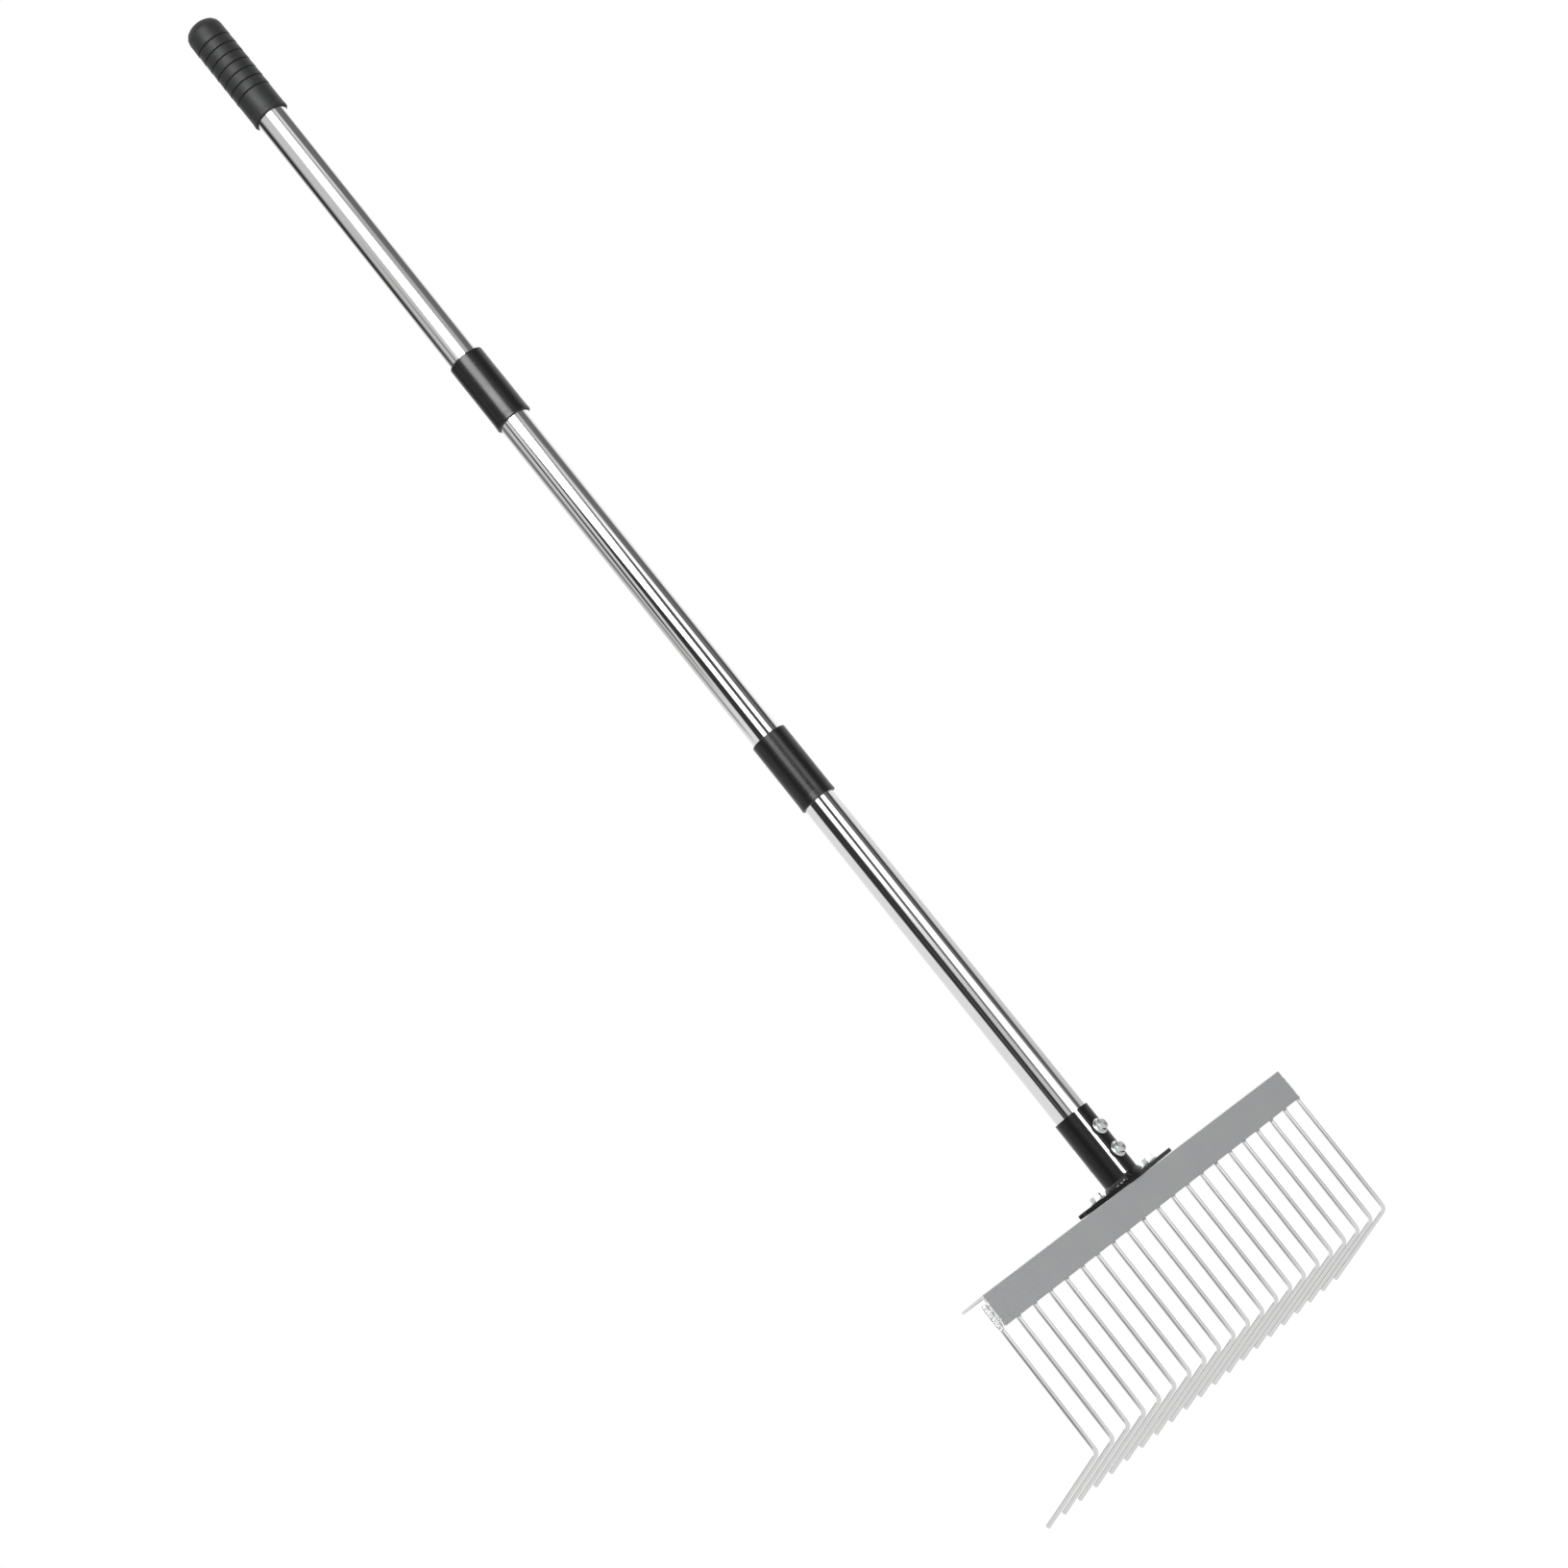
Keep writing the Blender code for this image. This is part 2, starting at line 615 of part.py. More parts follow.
def make_cap(tube_top):
    """A hand cap with a plain skirt, stepped rings above it and a domed top."""
    foot = tube_top + SEAT_GAP - CAP_BORE_DEPTH
    bore = TUBE_RADIUS + SEAT_GAP
    skirt = bore + CAP_WALL
    profile = [
        (bore, foot + CAP_BORE_DEPTH),
        (bore, foot),
        (skirt + CAP_RIM_FLARE, foot),
        (skirt, foot + CAP_RIM_HEIGHT),
    ]
    for index in range(CAP_GROOVE_COUNT):
        middle = foot + CAP_GROOVE_FIRST + index * CAP_GROOVE_PITCH
        profile += [
            (skirt, middle - CAP_GROOVE_WIDTH / 2),
            (skirt - CAP_GROOVE_DEPTH, middle),
            (skirt + CAP_RING_FLARE, middle + CAP_GROOVE_WIDTH / 2),
        ]
    dome_foot = foot + CAP_LENGTH - CAP_TOP_RADIUS
    dome_steps = 2 * CORNER_STEPS
    for step in range(dome_steps + 1):
        angle = math.pi / 2 * step / dome_steps
        radius = skirt - CAP_TOP_RADIUS * (1 - math.cos(angle))
        profile.append((radius, dome_foot + CAP_TOP_RADIUS * math.sin(angle)))
    profile.insert(0, (0.0, foot + CAP_BORE_DEPTH))
    profile.append((0.0, foot + CAP_LENGTH))
    bm = bmesh.new()
    turned(bm, profile, POLE_AXIS)
    add_object("end_cap", bm, BLACK_PLASTIC)


def make_pole():
    lower = make_tube("pole_tube_lower", POLE_FOOT, LOWER_TUBE_LENGTH)
    cut(lower, cross_holes("tube_holes", TUBE_RADIUS + CUT_OVERSHOOT))
    tube_top = POLE_FOOT + LOWER_TUBE_LENGTH
    joints = (("lower", "middle", MIDDLE_TUBE_LENGTH), ("upper", "upper", UPPER_TUBE_LENGTH))
    for joint, section, length in joints:
        seat = tube_top + SEAT_GAP
        make_sleeve("coupler_sleeve_" + joint, seat - SLEEVE_SEAT_DEPTH)
        tube_foot = seat + SLEEVE_WEB + SEAT_GAP
        make_plug("threaded_plug_" + joint, tube_foot)
        make_tube("pole_tube_" + section, tube_foot, length)
        tube_top = tube_foot + length
    make_cap(tube_top)


def main():
    for old in list(bpy.data.objects):
        bpy.data.objects.remove(old, do_unlink=True)
    make_bar()
    for number, x in enumerate(tine_xs(), start=1):
        make_tine(f"tine_{number:02d}", x)
    make_plate()
    make_plate_bolts()
    make_socket()
    make_socket_weld()
    make_socket_bolts()
    make_pole()


main()
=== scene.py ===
"""Garden rake: the looks of the pole, its couplings, the bolted socket, the angle bar and the wire tines."""
import math
import random

import bmesh
import bpy
from mathutils import Matrix, Vector


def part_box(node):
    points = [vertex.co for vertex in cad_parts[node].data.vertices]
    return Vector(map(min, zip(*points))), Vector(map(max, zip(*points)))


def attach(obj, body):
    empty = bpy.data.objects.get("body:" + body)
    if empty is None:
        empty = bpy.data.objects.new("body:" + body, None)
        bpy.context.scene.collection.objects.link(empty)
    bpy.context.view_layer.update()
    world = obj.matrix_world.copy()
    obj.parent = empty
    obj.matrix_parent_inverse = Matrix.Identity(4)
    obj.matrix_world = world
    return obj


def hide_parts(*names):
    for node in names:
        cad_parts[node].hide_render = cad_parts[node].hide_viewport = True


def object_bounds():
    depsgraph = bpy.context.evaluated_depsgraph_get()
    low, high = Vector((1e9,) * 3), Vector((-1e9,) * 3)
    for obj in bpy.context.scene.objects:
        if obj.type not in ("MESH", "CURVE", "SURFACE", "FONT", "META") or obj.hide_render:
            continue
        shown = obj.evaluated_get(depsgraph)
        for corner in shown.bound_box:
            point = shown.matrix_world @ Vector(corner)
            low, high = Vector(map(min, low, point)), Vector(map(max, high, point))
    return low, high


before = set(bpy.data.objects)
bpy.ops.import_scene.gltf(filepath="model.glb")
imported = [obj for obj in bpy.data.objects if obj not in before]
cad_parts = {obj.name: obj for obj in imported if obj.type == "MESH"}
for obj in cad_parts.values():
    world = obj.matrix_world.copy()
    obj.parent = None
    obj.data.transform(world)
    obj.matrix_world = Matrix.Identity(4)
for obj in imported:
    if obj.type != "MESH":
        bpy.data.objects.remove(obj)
cad_box = [list(corner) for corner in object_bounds()]

# Sizes are in millimetres. The bar's front face is at y = 0, and +Z runs up the pole
MM = 0.001
UP = Vector((0, 0, 1))
POLE_Y = 13.1
AXIS = Vector((0, POLE_Y * MM, 0))
TUBE_RADIUS = 12.7
BORE_RADIUS = TUBE_RADIUS + 0.3
SCREW_HOLE_RADIUS = 2.8
SOCKET_SCREWS = (("lower", 37.2), ("upper", 57.7))
PLATE_SCREWS = (("left", -35), ("right", 35))


# Materials

def linear(code):
    """Turns an sRGB hex code into a linear colour."""
    values = [int(code[i:i + 2], 16) / 255 for i in (1, 3, 5)]
    return [v / 12.92 if v <= 0.04045 else ((v + 0.055) / 1.055) ** 2.4 for v in values] + [1]


def per_mm(size):
    """The texture scale whose features are this many millimetres wide."""
    return 1 / (size * MM)


def feed(tree, node, links):
    """Sets or links a node's sockets, by name or number.

    A Mix node's go by number: 0 is the share, 2 and 3 are its values, and 6 and 7 its colours.
    """
    for key, value in links.items():
        if isinstance(value, bpy.types.NodeSocket):
            tree.links.new(value, node.inputs[key])
        else:
            node.inputs[key].default_value = value


def add(tree, kind, links=None, **settings):
    """Adds a node with its settings, and sets or links its sockets."""
    node = tree.nodes.new("ShaderNode" + kind)
    for key, value in settings.items():
        setattr(node, key, value)
    feed(tree, node, links or {})
    return node


def new_material(name, **values):
    """Starts a material with these shader values, and gives it with its tree, shader and place."""
    material = bpy.data.materials.new(name)
    material.use_nodes = True
    tree = material.node_tree
    shader = tree.nodes["Principled BSDF"]
    feed(tree, shader, values)
    place = add(tree, "TexCoord").outputs["Object"]
    return material, tree, shader, place


def polished_tube():
    """Stainless tube, drawn and then polished along its length.

    It mirrors the room in sharp stripes, whose edges fray a little along the fine polishing lines.
    """
    material, tree, shader, place = new_material("stainless_tube_drawn_and_polished", Metallic=1.0)
    fine = add(tree, "Mapping", {"Vector": place, "Scale": [per_mm(size) for size in (0.45, 0.45, 60)]})
    lines = add(tree, "TexNoise", {"Vector": fine.outputs["Vector"], "Scale": 1.0, "Detail": 3.0})
    broad = add(tree, "Mapping", {"Vector": place, "Scale": [per_mm(size) for size in (9, 9, 70)]})
    waves = add(tree, "TexNoise", {"Vector": broad.outputs["Vector"], "Scale": 1.0, "Detail": 1.0})
    rough = add(tree, "MapRange", {
        "Value": lines.outputs["Fac"], "From Min": 0.3, "From Max": 0.7, "To Min": 0.03, "To Max": 0.06})
    tint = add(tree, "Mix", {
        0: waves.outputs["Fac"], 6: linear("#dddbd9"), 7: linear("#d9dadc")}, data_type="RGBA")
    grain = add(tree, "Bump", {"Height": lines.outputs["Fac"], "Strength": 0.02, "Distance": 0.02 * MM})
    swell = add(tree, "Bump", {
        "Height": waves.outputs["Fac"], "Strength": 0.1, "Distance": 0.05 * MM,
        "Normal": grain.outputs["Normal"]})
    feed(tree, shader, {
        "Base Color": tint.outputs[2],
        "Roughness": rough.outputs["Result"],
        "Normal": swell.outputs["Normal"],
    })
    return material


def rolled_bar():
    """Stainless angle, hot rolled, pickled and blasted.

    It is a flat, even grey with faint rolling lines along the bar and a fine blasted grain.
    """
    material, tree, shader, place = new_material("stainless_angle_rolled_and_pickled", Metallic=1.0)
    along = add(tree, "Mapping", {"Vector": place, "Scale": [per_mm(size) for size in (45, 0.6, 0.6)]})
    lines = add(tree, "TexNoise", {"Vector": along.outputs["Vector"], "Scale": 1.0, "Detail": 4.0})
    grain = add(tree, "TexNoise", {"Vector": place, "Scale": per_mm(0.5), "Detail": 2.0})
    cloud = add(tree, "TexNoise", {"Vector": place, "Scale": per_mm(28), "Detail": 2.0})
    mix = add(tree, "Mix", {0: 0.45, 2: lines.outputs["Fac"], 3: cloud.outputs["Fac"]})
    tint = add(tree, "Mix", {
        0: mix.outputs[0], 6: linear("#b0b2b4"), 7: linear("#c2c2c2")}, data_type="RGBA")
    rough = add(tree, "MapRange", {"Value": grain.outputs["Fac"], "To Min": 0.4, "To Max": 0.56})
    fine = add(tree, "Bump", {"Height": grain.outputs["Fac"], "Strength": 0.25, "Distance": 0.04 * MM})
    rolled = add(tree, "Bump", {
        "Height": lines.outputs["Fac"], "Strength": 0.3, "Distance": 0.05 * MM,
        "Normal": fine.outputs["Normal"]})
    feed(tree, shader, {
        "Base Color": tint.outputs[2],
        "Roughness": rough.outputs["Result"],
        "Normal": rolled.outputs["Normal"],
    })
    return material


def sawn_end():
    """The same stainless steel where the saw went through, deburred on a belt.

    It is bare and brighter than the pickled skin, with fine saw lines across it.
    """
    material, tree, shader, place = new_material("stainless_angle_sawn_end", Metallic=1.0)
    across = add(tree, "Mapping", {"Vector": place, "Scale": [per_mm(size) for size in (4, 4, 0.25)]})
    lines = add(tree, "TexNoise", {"Vector": across.outputs["Vector"], "Scale": 1.0, "Detail": 2.0})
    rough = add(tree, "MapRange", {"Value": lines.outputs["Fac"], "To Min": 0.2, "To Max": 0.32})
    bump = add(tree, "Bump", {"Height": lines.outputs["Fac"], "Strength": 0.15, "Distance": 0.03 * MM})
    feed(tree, shader, {
        "Base Color": linear("#efeff0"),
        "Roughness": rough.outputs["Result"],
        "Normal": bump.outputs["Normal"],
    })
    return material


def drawn_wire():
    """Spring wire, stainless and cold drawn through a polished die.

    It is bright and mirrors the room in thin crisp lines, a little dulled in clouds along its length.
    """
    material, tree, shader, place = new_material("spring_wire_cold_drawn", Metallic=1.0)
    along = add(tree, "Mapping", {"Vector": place, "Scale": [per_mm(size) for size in (0.5, 0.5, 25)]})
    lines = add(tree, "TexNoise", {"Vector": along.outputs["Vector"], "Scale": 1.0, "Detail": 2.0})
    cloud = add(tree, "TexNoise", {"Vector": place, "Scale": per_mm(14), "Detail": 1.0})
    tint = add(tree, "Mix", {
        0: cloud.outputs["Fac"], 6: linear("#ececed"), 7: linear("#f3f2f0")}, data_type="RGBA")
    rough = add(tree, "MapRange", {"Value": cloud.outputs["Fac"], "To Min": 0.06, "To Max": 0.1})
    bump = add(tree, "Bump", {"Height": lines.outputs["Fac"], "Strength": 0.05, "Distance": 0.02 * MM})
    feed(tree, shader, {
        "Base Color": tint.outputs[2],
        "Roughness": rough.outputs["Result"],
        "Normal": bump.outputs["Normal"],
    })
    return material


def weld_bead():
    """Weld metal, as melted and brushed.

    It is bright silver that swirls in soft ripples, with faint straw and blue heat tints.
    """
    material, tree, shader, place = new_material("weld_bead_as_melted", Metallic=1.0)
    ripple = add(tree, "TexNoise", {"Vector": place, "Scale": per_mm(1.6), "Detail": 1.0})
    heat = add(tree, "TexNoise", {"Vector": place, "Scale": per_mm(4), "Detail": 1.0})
    ramp = add(tree, "ValToRGB", {"Fac": heat.outputs["Fac"]})
    stops = ramp.color_ramp.elements
    stops[0].position, stops[0].color = 0.3, linear("#a3a8b0")
    stops[1].position, stops[1].color = 0.7, linear("#e2dfd8")
    stops.new(0.5).color = linear("#dcdcdc")
    rough = add(tree, "MapRange", {"Value": ripple.outputs["Fac"], "To Min": 0.12, "To Max": 0.26})
    bump = add(tree, "Bump", {"Height": ripple.outputs["Fac"], "Strength": 0.3, "Distance": 0.2 * MM})
    feed(tree, shader, {
        "Base Color": ramp.outputs["Color"],
        "Roughness": rough.outputs["Result"],
        "Normal": bump.outputs["Normal"],
    })
    return material


def moulded_plastic(name, code, rough_low, rough_high, grain_mm, relief):
    """Polypropylene with carbon black, injection moulded in a spark-textured mould.

    It is a satin or matte charcoal with a soft broad highlight and a very fine even grain.
    """
    material, tree, shader, place = new_material(name, IOR=1.49)
    grain = add(tree, "TexVoronoi", {"Vector": place, "Scale": per_mm(grain_mm)}, feature="SMOOTH_F1")
    cloud = add(tree, "TexNoise", {"Vector": place, "Scale": per_mm(16), "Detail": 2.0})
    dust = add(tree, "TexNoise", {"Vector": place, "Scale": per_mm(0.8), "Detail": 2.0})
    base = linear(code)
    pale = [1.12 * value for value in base[:3]] + [1]
    tint = add(tree, "Mix", {0: dust.outputs["Fac"], 6: base, 7: pale}, data_type="RGBA")
    rough = add(tree, "MapRange", {
        "Value": cloud.outputs["Fac"], "From Min": 0.3, "From Max": 0.7,
        "To Min": rough_low, "To Max": rough_high})
    bump = add(tree, "Bump", {
        "Height": grain.outputs["Distance"], "Strength": relief, "Distance": 0.05 * MM})
    feed(tree, shader, {
        "Base Color": tint.outputs[2],
        "Roughness": rough.outputs["Result"],
        "Normal": bump.outputs["Normal"],
        "Specular IOR Level": 0.3,
    })
    return material


def powder_coat(name, level, rough_low, rough_high):
    """Polyester powder, baked on steel.

    It is a deep glossy black whose reflections break up in a slight orange peel.
    """
    material, tree, shader, place = new_material(name, IOR=1.5)
    peel = add(tree, "TexNoise", {"Vector": place, "Scale": per_mm(1.6), "Detail": 1.0})
    dust = add(tree, "TexNoise", {"Vector": place, "Scale": per_mm(0.5), "Detail": 2.0})
    tint = add(tree, "Mix", {
        0: dust.outputs["Fac"], 6: linear("#080808"), 7: linear("#0f0f0f")}, data_type="RGBA")
    rough = add(tree, "MapRange", {"Value": peel.outputs["Fac"], "To Min": rough_low, "To Max": rough_high})
    bump = add(tree, "Bump", {"Height": peel.outputs["Fac"], "Strength": 0.25, "Distance": 0.06 * MM})
    feed(tree, shader, {
        "Base Color": tint.outputs[2],
        "Roughness": rough.outputs["Result"],
        "Normal": bump.outputs["Normal"],
        "Specular IOR Level": level,
    })
    return material


def zinc_plate():
    """Steel screws, cold headed and bright zinc plated.

    They are cool silver with a faint cloudy film and soft forging dents.
    """
    material, tree, shader, place = new_material("bright_zinc_plated_steel", Metallic=1.0)
    cloud = add(tree, "TexNoise", {"Vector": place, "Scale": per_mm(2.2), "Detail": 3.0})
    tint = add(tree, "Mix", {
        0: cloud.outputs["Fac"], 6: linear("#c8d0d2"), 7: linear("#e4e5e0")}, data_type="RGBA")
    rough = add(tree, "MapRange", {"Value": cloud.outputs["Fac"], "To Min": 0.14, "To Max": 0.34})
    bump = add(tree, "Bump", {"Height": cloud.outputs["Fac"], "Strength": 0.25, "Distance": 0.15 * MM})
    feed(tree, shader, {
        "Base Color": tint.outputs[2],
        "Roughness": rough.outputs["Result"],
        "Normal": bump.outputs["Normal"],
    })
    return material


TUBE_STEEL = polished_tube()
BAR_STEEL = rolled_bar()
SAWN_STEEL = sawn_end()
WIRE_STEEL = drawn_wire()
BEAD_METAL = weld_bead()
SLEEVE_PLASTIC = moulded_plastic("polypropylene_moulded_satin_black", "#19191a", 0.25, 0.29, 0.35, 0.025)
CAP_PLASTIC = moulded_plastic("polypropylene_moulded_matte_black", "#1e1f1f", 0.42, 0.5, 0.45, 0.05)
COAT = powder_coat("polyester_powder_coat_black", 0.3, 0.22, 0.34)
WELD_COAT = powder_coat("polyester_powder_coat_run_thick_on_the_weld", 0.5, 0.14, 0.24)
ZINC = zinc_plate()


# Shaping

PIECES = []
SHARP_ANGLE = 35


def smooth(mesh, sharp_angle=SHARP_ANGLE):
    """Shades a mesh smooth but for the edges that are sharper than this many degrees."""
    mesh.shade_smooth()
    mesh.set_sharp_from_angle(angle=math.radians(sharp_angle))


def finished(name, bm, materials=(), slot=None, nodes=(), sharp_angle=SHARP_ANGLE):
    """Makes an object of the bmesh. With a slot it is one of the rake's PIECES, and rides with it."""
    bmesh.ops.recalc_face_normals(bm, faces=bm.faces)
    mesh = bpy.data.meshes.new(name)
    bm.to_mesh(mesh)
    bm.free()
    smooth(mesh, sharp_angle)
    piece = bpy.data.objects.new(name, mesh)
    bpy.context.collection.objects.link(piece)
    for material in materials:
        mesh.materials.append(material)
    if slot:
        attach(piece, "root")
        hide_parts(*nodes)
        PIECES.append(piece)
    return piece


def chain(bm, points, closed=False):
    """Joins points by edges, and gives its vertices and edges."""
    verts = [bm.verts.new(point) for point in points]
    edges = [bm.edges.new(pair) for pair in zip(verts, verts[1:])]
    if closed:
        edges.append(bm.edges.new((verts[-1], verts[0])))
    return verts + edges


def drawn_out(bm, edges):
    """Extrudes the edges, and gives the new edges and their vertices."""
    fresh = bmesh.ops.extrude_edge_only(bm, edges=edges)["geom"]
    verts = [v for v in fresh if isinstance(v, bmesh.types.BMVert)]
    ends = [e for e in fresh if isinstance(e, bmesh.types.BMEdge) and all(v in verts for v in e.verts)]
    return ends, verts


def thickened(bm, faces, reach):
    """Extrudes the faces by a reach in millimetres, and keeps them as the other side."""
    grown = bmesh.ops.extrude_face_region(bm, geom=faces, use_keep_orig=True)["geom"]
    moved = [v for v in grown if isinstance(v, bmesh.types.BMVert)]
    bmesh.ops.translate(bm, verts=moved, vec=[part * MM for part in reach])


def slab(bm, reach):
    """Fills the one outline that the bmesh holds and gives it a thickness."""
    thickened(bm, bmesh.ops.contextual_create(bm, geom=bm.edges[:])["faces"], reach)


def turn(bm, profile, closed=True, steps=128):
    """Spins (radius, height) points in millimetres about Z into a closed skin."""
    geom = chain(bm, [(r * MM, 0, z * MM) for r, z in profile], closed)
    bmesh.ops.spin(bm, geom=geom, cent=(0, 0, 0), axis=UP, angle=math.tau, steps=steps, use_merge=True)
    bmesh.ops.remove_doubles(bm, verts=bm.verts, dist=0.001 * MM)


def rounded(profile, radii, steps=4):
    """Replaces the profile's corners by arcs; radii maps a corner's number to its radius."""
    points = []
    for index, corner in enumerate(profile):
        if index not in radii:
            points.append(corner)
            continue
        here = Vector(corner)
        back = (Vector(profile[index - 1]) - here).normalized()
        ahead = (Vector(profile[(index + 1) % len(profile)]) - here).normalized()
        half = back.angle(ahead) / 2
        reach = radii[index] / math.tan(half)
        centre = here + (back + ahead).normalized() * radii[index] / math.sin(half)
        start, end = (here + way * reach - centre for way in (back, ahead))
        for step in range(steps + 1):
            points.append(tuple(centre + start.slerp(end, step / steps).normalized() * radii[index]))
    return points


def carve(piece, cutters, operation="DIFFERENCE"):
    """Applies a Boolean with each cutter and clears the cutter away."""
    for cutter in cutters:
        modifier = piece.modifiers.new("cut", "BOOLEAN")
        modifier.operation = operation
        modifier.solver = "EXACT"
        modifier.object = cutter
        graph = bpy.context.evaluated_depsgraph_get()
        mesh = bpy.data.meshes.new_from_object(piece.evaluated_get(graph))
        piece.modifiers.clear()
        old, piece.data = piece.data, mesh
        bpy.data.meshes.remove(old)
        bpy.data.objects.remove(cutter)
    smooth(piece.data)


def soften(piece, width, segments=2, angle=40):
    """Rounds the piece's sharp edges by a width in millimetres."""
    bevel = piece.modifiers.new("rounded_edges", "BEVEL")
    bevel.width = width * MM
    bevel.segments = segments
    bevel.limit_method = "ANGLE"
    bevel.angle_limit = math.radians(angle)


def place_at(x, y, z, turned=None):
    """A place in millimetres, turned first by an (angle in degrees, axis) pair."""
    place = Matrix.Translation(Vector((x, y, z)) * MM)
    if turned:
        place = place @ Matrix.Rotation(math.radians(turned[0]), 4, turned[1])
    return place


ON_POLE = place_at(0, POLE_Y, 0)
BACKWARDS = (-90, "X")
DOWNWARDS = (180, "X")


def drill(foot, top, place):
    """A rod that cuts a screw's hole, along Z of its place."""
    bm = bmesh.new()
    outline = [(0, foot), (SCREW_HOLE_RADIUS, foot), (SCREW_HOLE_RADIUS, top), (0, top)]
    turn(bm, outline, closed=False, steps=32)
    bmesh.ops.transform(bm, matrix=place, verts=bm.verts)
    return finished("cutter", bm)


def socket_drills():
    """The drills for the two screws that run through the socket and the tube from the front."""
    return [drill(-20, 20, place_at(0, POLE_Y, z, BACKWARDS)) for _, z in SOCKET_SCREWS]


def plate_drills():
    """The drills for the two screws that hold the plate on the bar."""
    return [drill(5, 25, place_at(x, POLE_Y, 0)) for _, x in PLATE_SCREWS]


def height(node, end):
    """The lowest (0) or highest (1) height of a node, in millimetres."""
    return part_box(node)[end].z / MM


# Pole

def pole_tube(section):
    """One section of the pole: a tube with deburred ends, drilled where it stands in the socket."""
    node = "pole_tube_" + section
    foot, top = height(node, 0), height(node, 1)
    bore = TUBE_RADIUS - 1.0
    bands = 12
    outside = [(TUBE_RADIUS, foot + (top - foot) * band / bands) for band in range(bands + 1)]
    profile = [(bore, top), (bore, foot), *outside]
    radii = {0: 0.2, 1: 0.2, 2: 0.35, len(profile) - 1: 0.35}
    bm = bmesh.new()
    turn(bm, rounded(profile, radii))
    bmesh.ops.transform(bm, matrix=ON_POLE, verts=bm.verts)
    piece = finished(section + "_tube", bm, [TUBE_STEEL], "polished_steel", [node])
    carve(piece, socket_drills() if section == "lower" else [])


def sleeve(joint):
    """A coupler: a slightly flared sleeve over both tubes, with an inner spigot and a web."""
    node = "coupler_sleeve_" + joint
    foot, top = height(node, 0), height(node, 1)
    mouth, waist, rim = 14.75, 14.5, 14.45
    spigot, hollow = 11.4, 8.3
    flare, seat_depth, web, spigot_length = 6, 38, 4, 32
    seat = foot + seat_depth
    profile = [
        (mouth, foot), (waist, foot + flare), (rim, top), (BORE_RADIUS, top),
        (BORE_RADIUS, seat + web), (hollow, seat + web), (hollow, seat - spigot_length),
        (spigot, seat - spigot_length), (spigot, seat), (BORE_RADIUS, seat), (BORE_RADIUS, foot),
    ]
    bm = bmesh.new()
    turn(bm, rounded(profile, {0: 0.55, 1: 12, 2: 1.1, 3: 0.25, 10: 0.3}))
    bmesh.ops.transform(bm, matrix=ON_POLE, verts=bm.verts)
    finished(joint + "_coupler", bm, [SLEEVE_PLASTIC], "black_plastic", [node])


def hand_cap():
    """The cap on the pole's top: a plain skirt, stepped grip rings and a domed end."""
    foot, top = height("end_cap", 0), height("end_cap", 1)
    mouth, skirt, groove = 14.85, 14.6, 13.9
    flare, crown, dome = 6, 8, 8.9
    rings, first_ring, ring_pitch, half_groove, ring_edge = 7, 22.3, 8.4, 0.55, 0.25
    profile = [
        (0, top - crown), (BORE_RADIUS, top - crown), (BORE_RADIUS, foot), (mouth, foot),
        (skirt, foot + flare),
    ]
    radii = {2: 0.3, 3: 0.5, 4: 8}
    for ring in range(rings):
        middle = foot + first_ring + ring_pitch * ring
        radii[len(profile)] = ring_edge
        radii[len(profile) + 2] = ring_edge
        profile += [(skirt, middle - half_groove), (groove, middle), (mouth, middle + half_groove)]
    radii[len(profile)] = dome
    profile += [(skirt, top), (0, top)]
    bm = bmesh.new()
    turn(bm, rounded(profile, radii), closed=False)
    bmesh.ops.transform(bm, matrix=ON_POLE, verts=bm.verts)
    finished("hand_cap", bm, [CAP_PLASTIC], "black_plastic", ["end_cap"])


# Socket, plate and bar

SOCKET_FOOT = height("socket_tube", 0)
SOCKET_TOP = height("socket_tube", 1)


def slit_cutter():
    """Cuts the slit down the socket's front left, with a round foot and an open top."""
    half, foot, turned = 3.5 / 2, SOCKET_FOOT + 4.2, -28.5
    outside, above = -18, 80
    middle = foot + half
    bm = bmesh.new()
    left = bm.verts.new((-half * MM, outside * MM, middle * MM))
    right = bmesh.ops.spin(bm, geom=[left], cent=(0, outside * MM, middle * MM), axis=(0, 1, 0),
                           angle=-math.pi, steps=12)["geom_last"][0]
    top_left = bm.verts.new((-half * MM, outside * MM, above * MM))
    top_right = bm.verts.new((half * MM, outside * MM, above * MM))
    for pair in ((left, top_left), (top_left, top_right), (top_right, right)):
        bm.edges.new(pair)
    slab(bm, (0, -outside, 0))
    bmesh.ops.transform(bm, matrix=ON_POLE @ Matrix.Rotation(math.radians(turned), 4, "Z"), verts=bm.verts)
    return finished("cutter", bm)


def socket():
    """The socket: a coated tube, slit down its front left, with two screws right through it."""
    bore, radius = BORE_RADIUS, 14.2
    profile = [(bore, SOCKET_FOOT), (radius, SOCKET_FOOT), (radius, SOCKET_TOP), (bore, SOCKET_TOP)]
    bm = bmesh.new()
    turn(bm, profile)
    bmesh.ops.transform(bm, matrix=ON_POLE, verts=bm.verts)
    piece = finished("socket", bm, [COAT], "black_coating", ["socket_tube"])
    carve(piece, [slit_cutter(), *socket_drills()])
    soften(piece, 0.25)


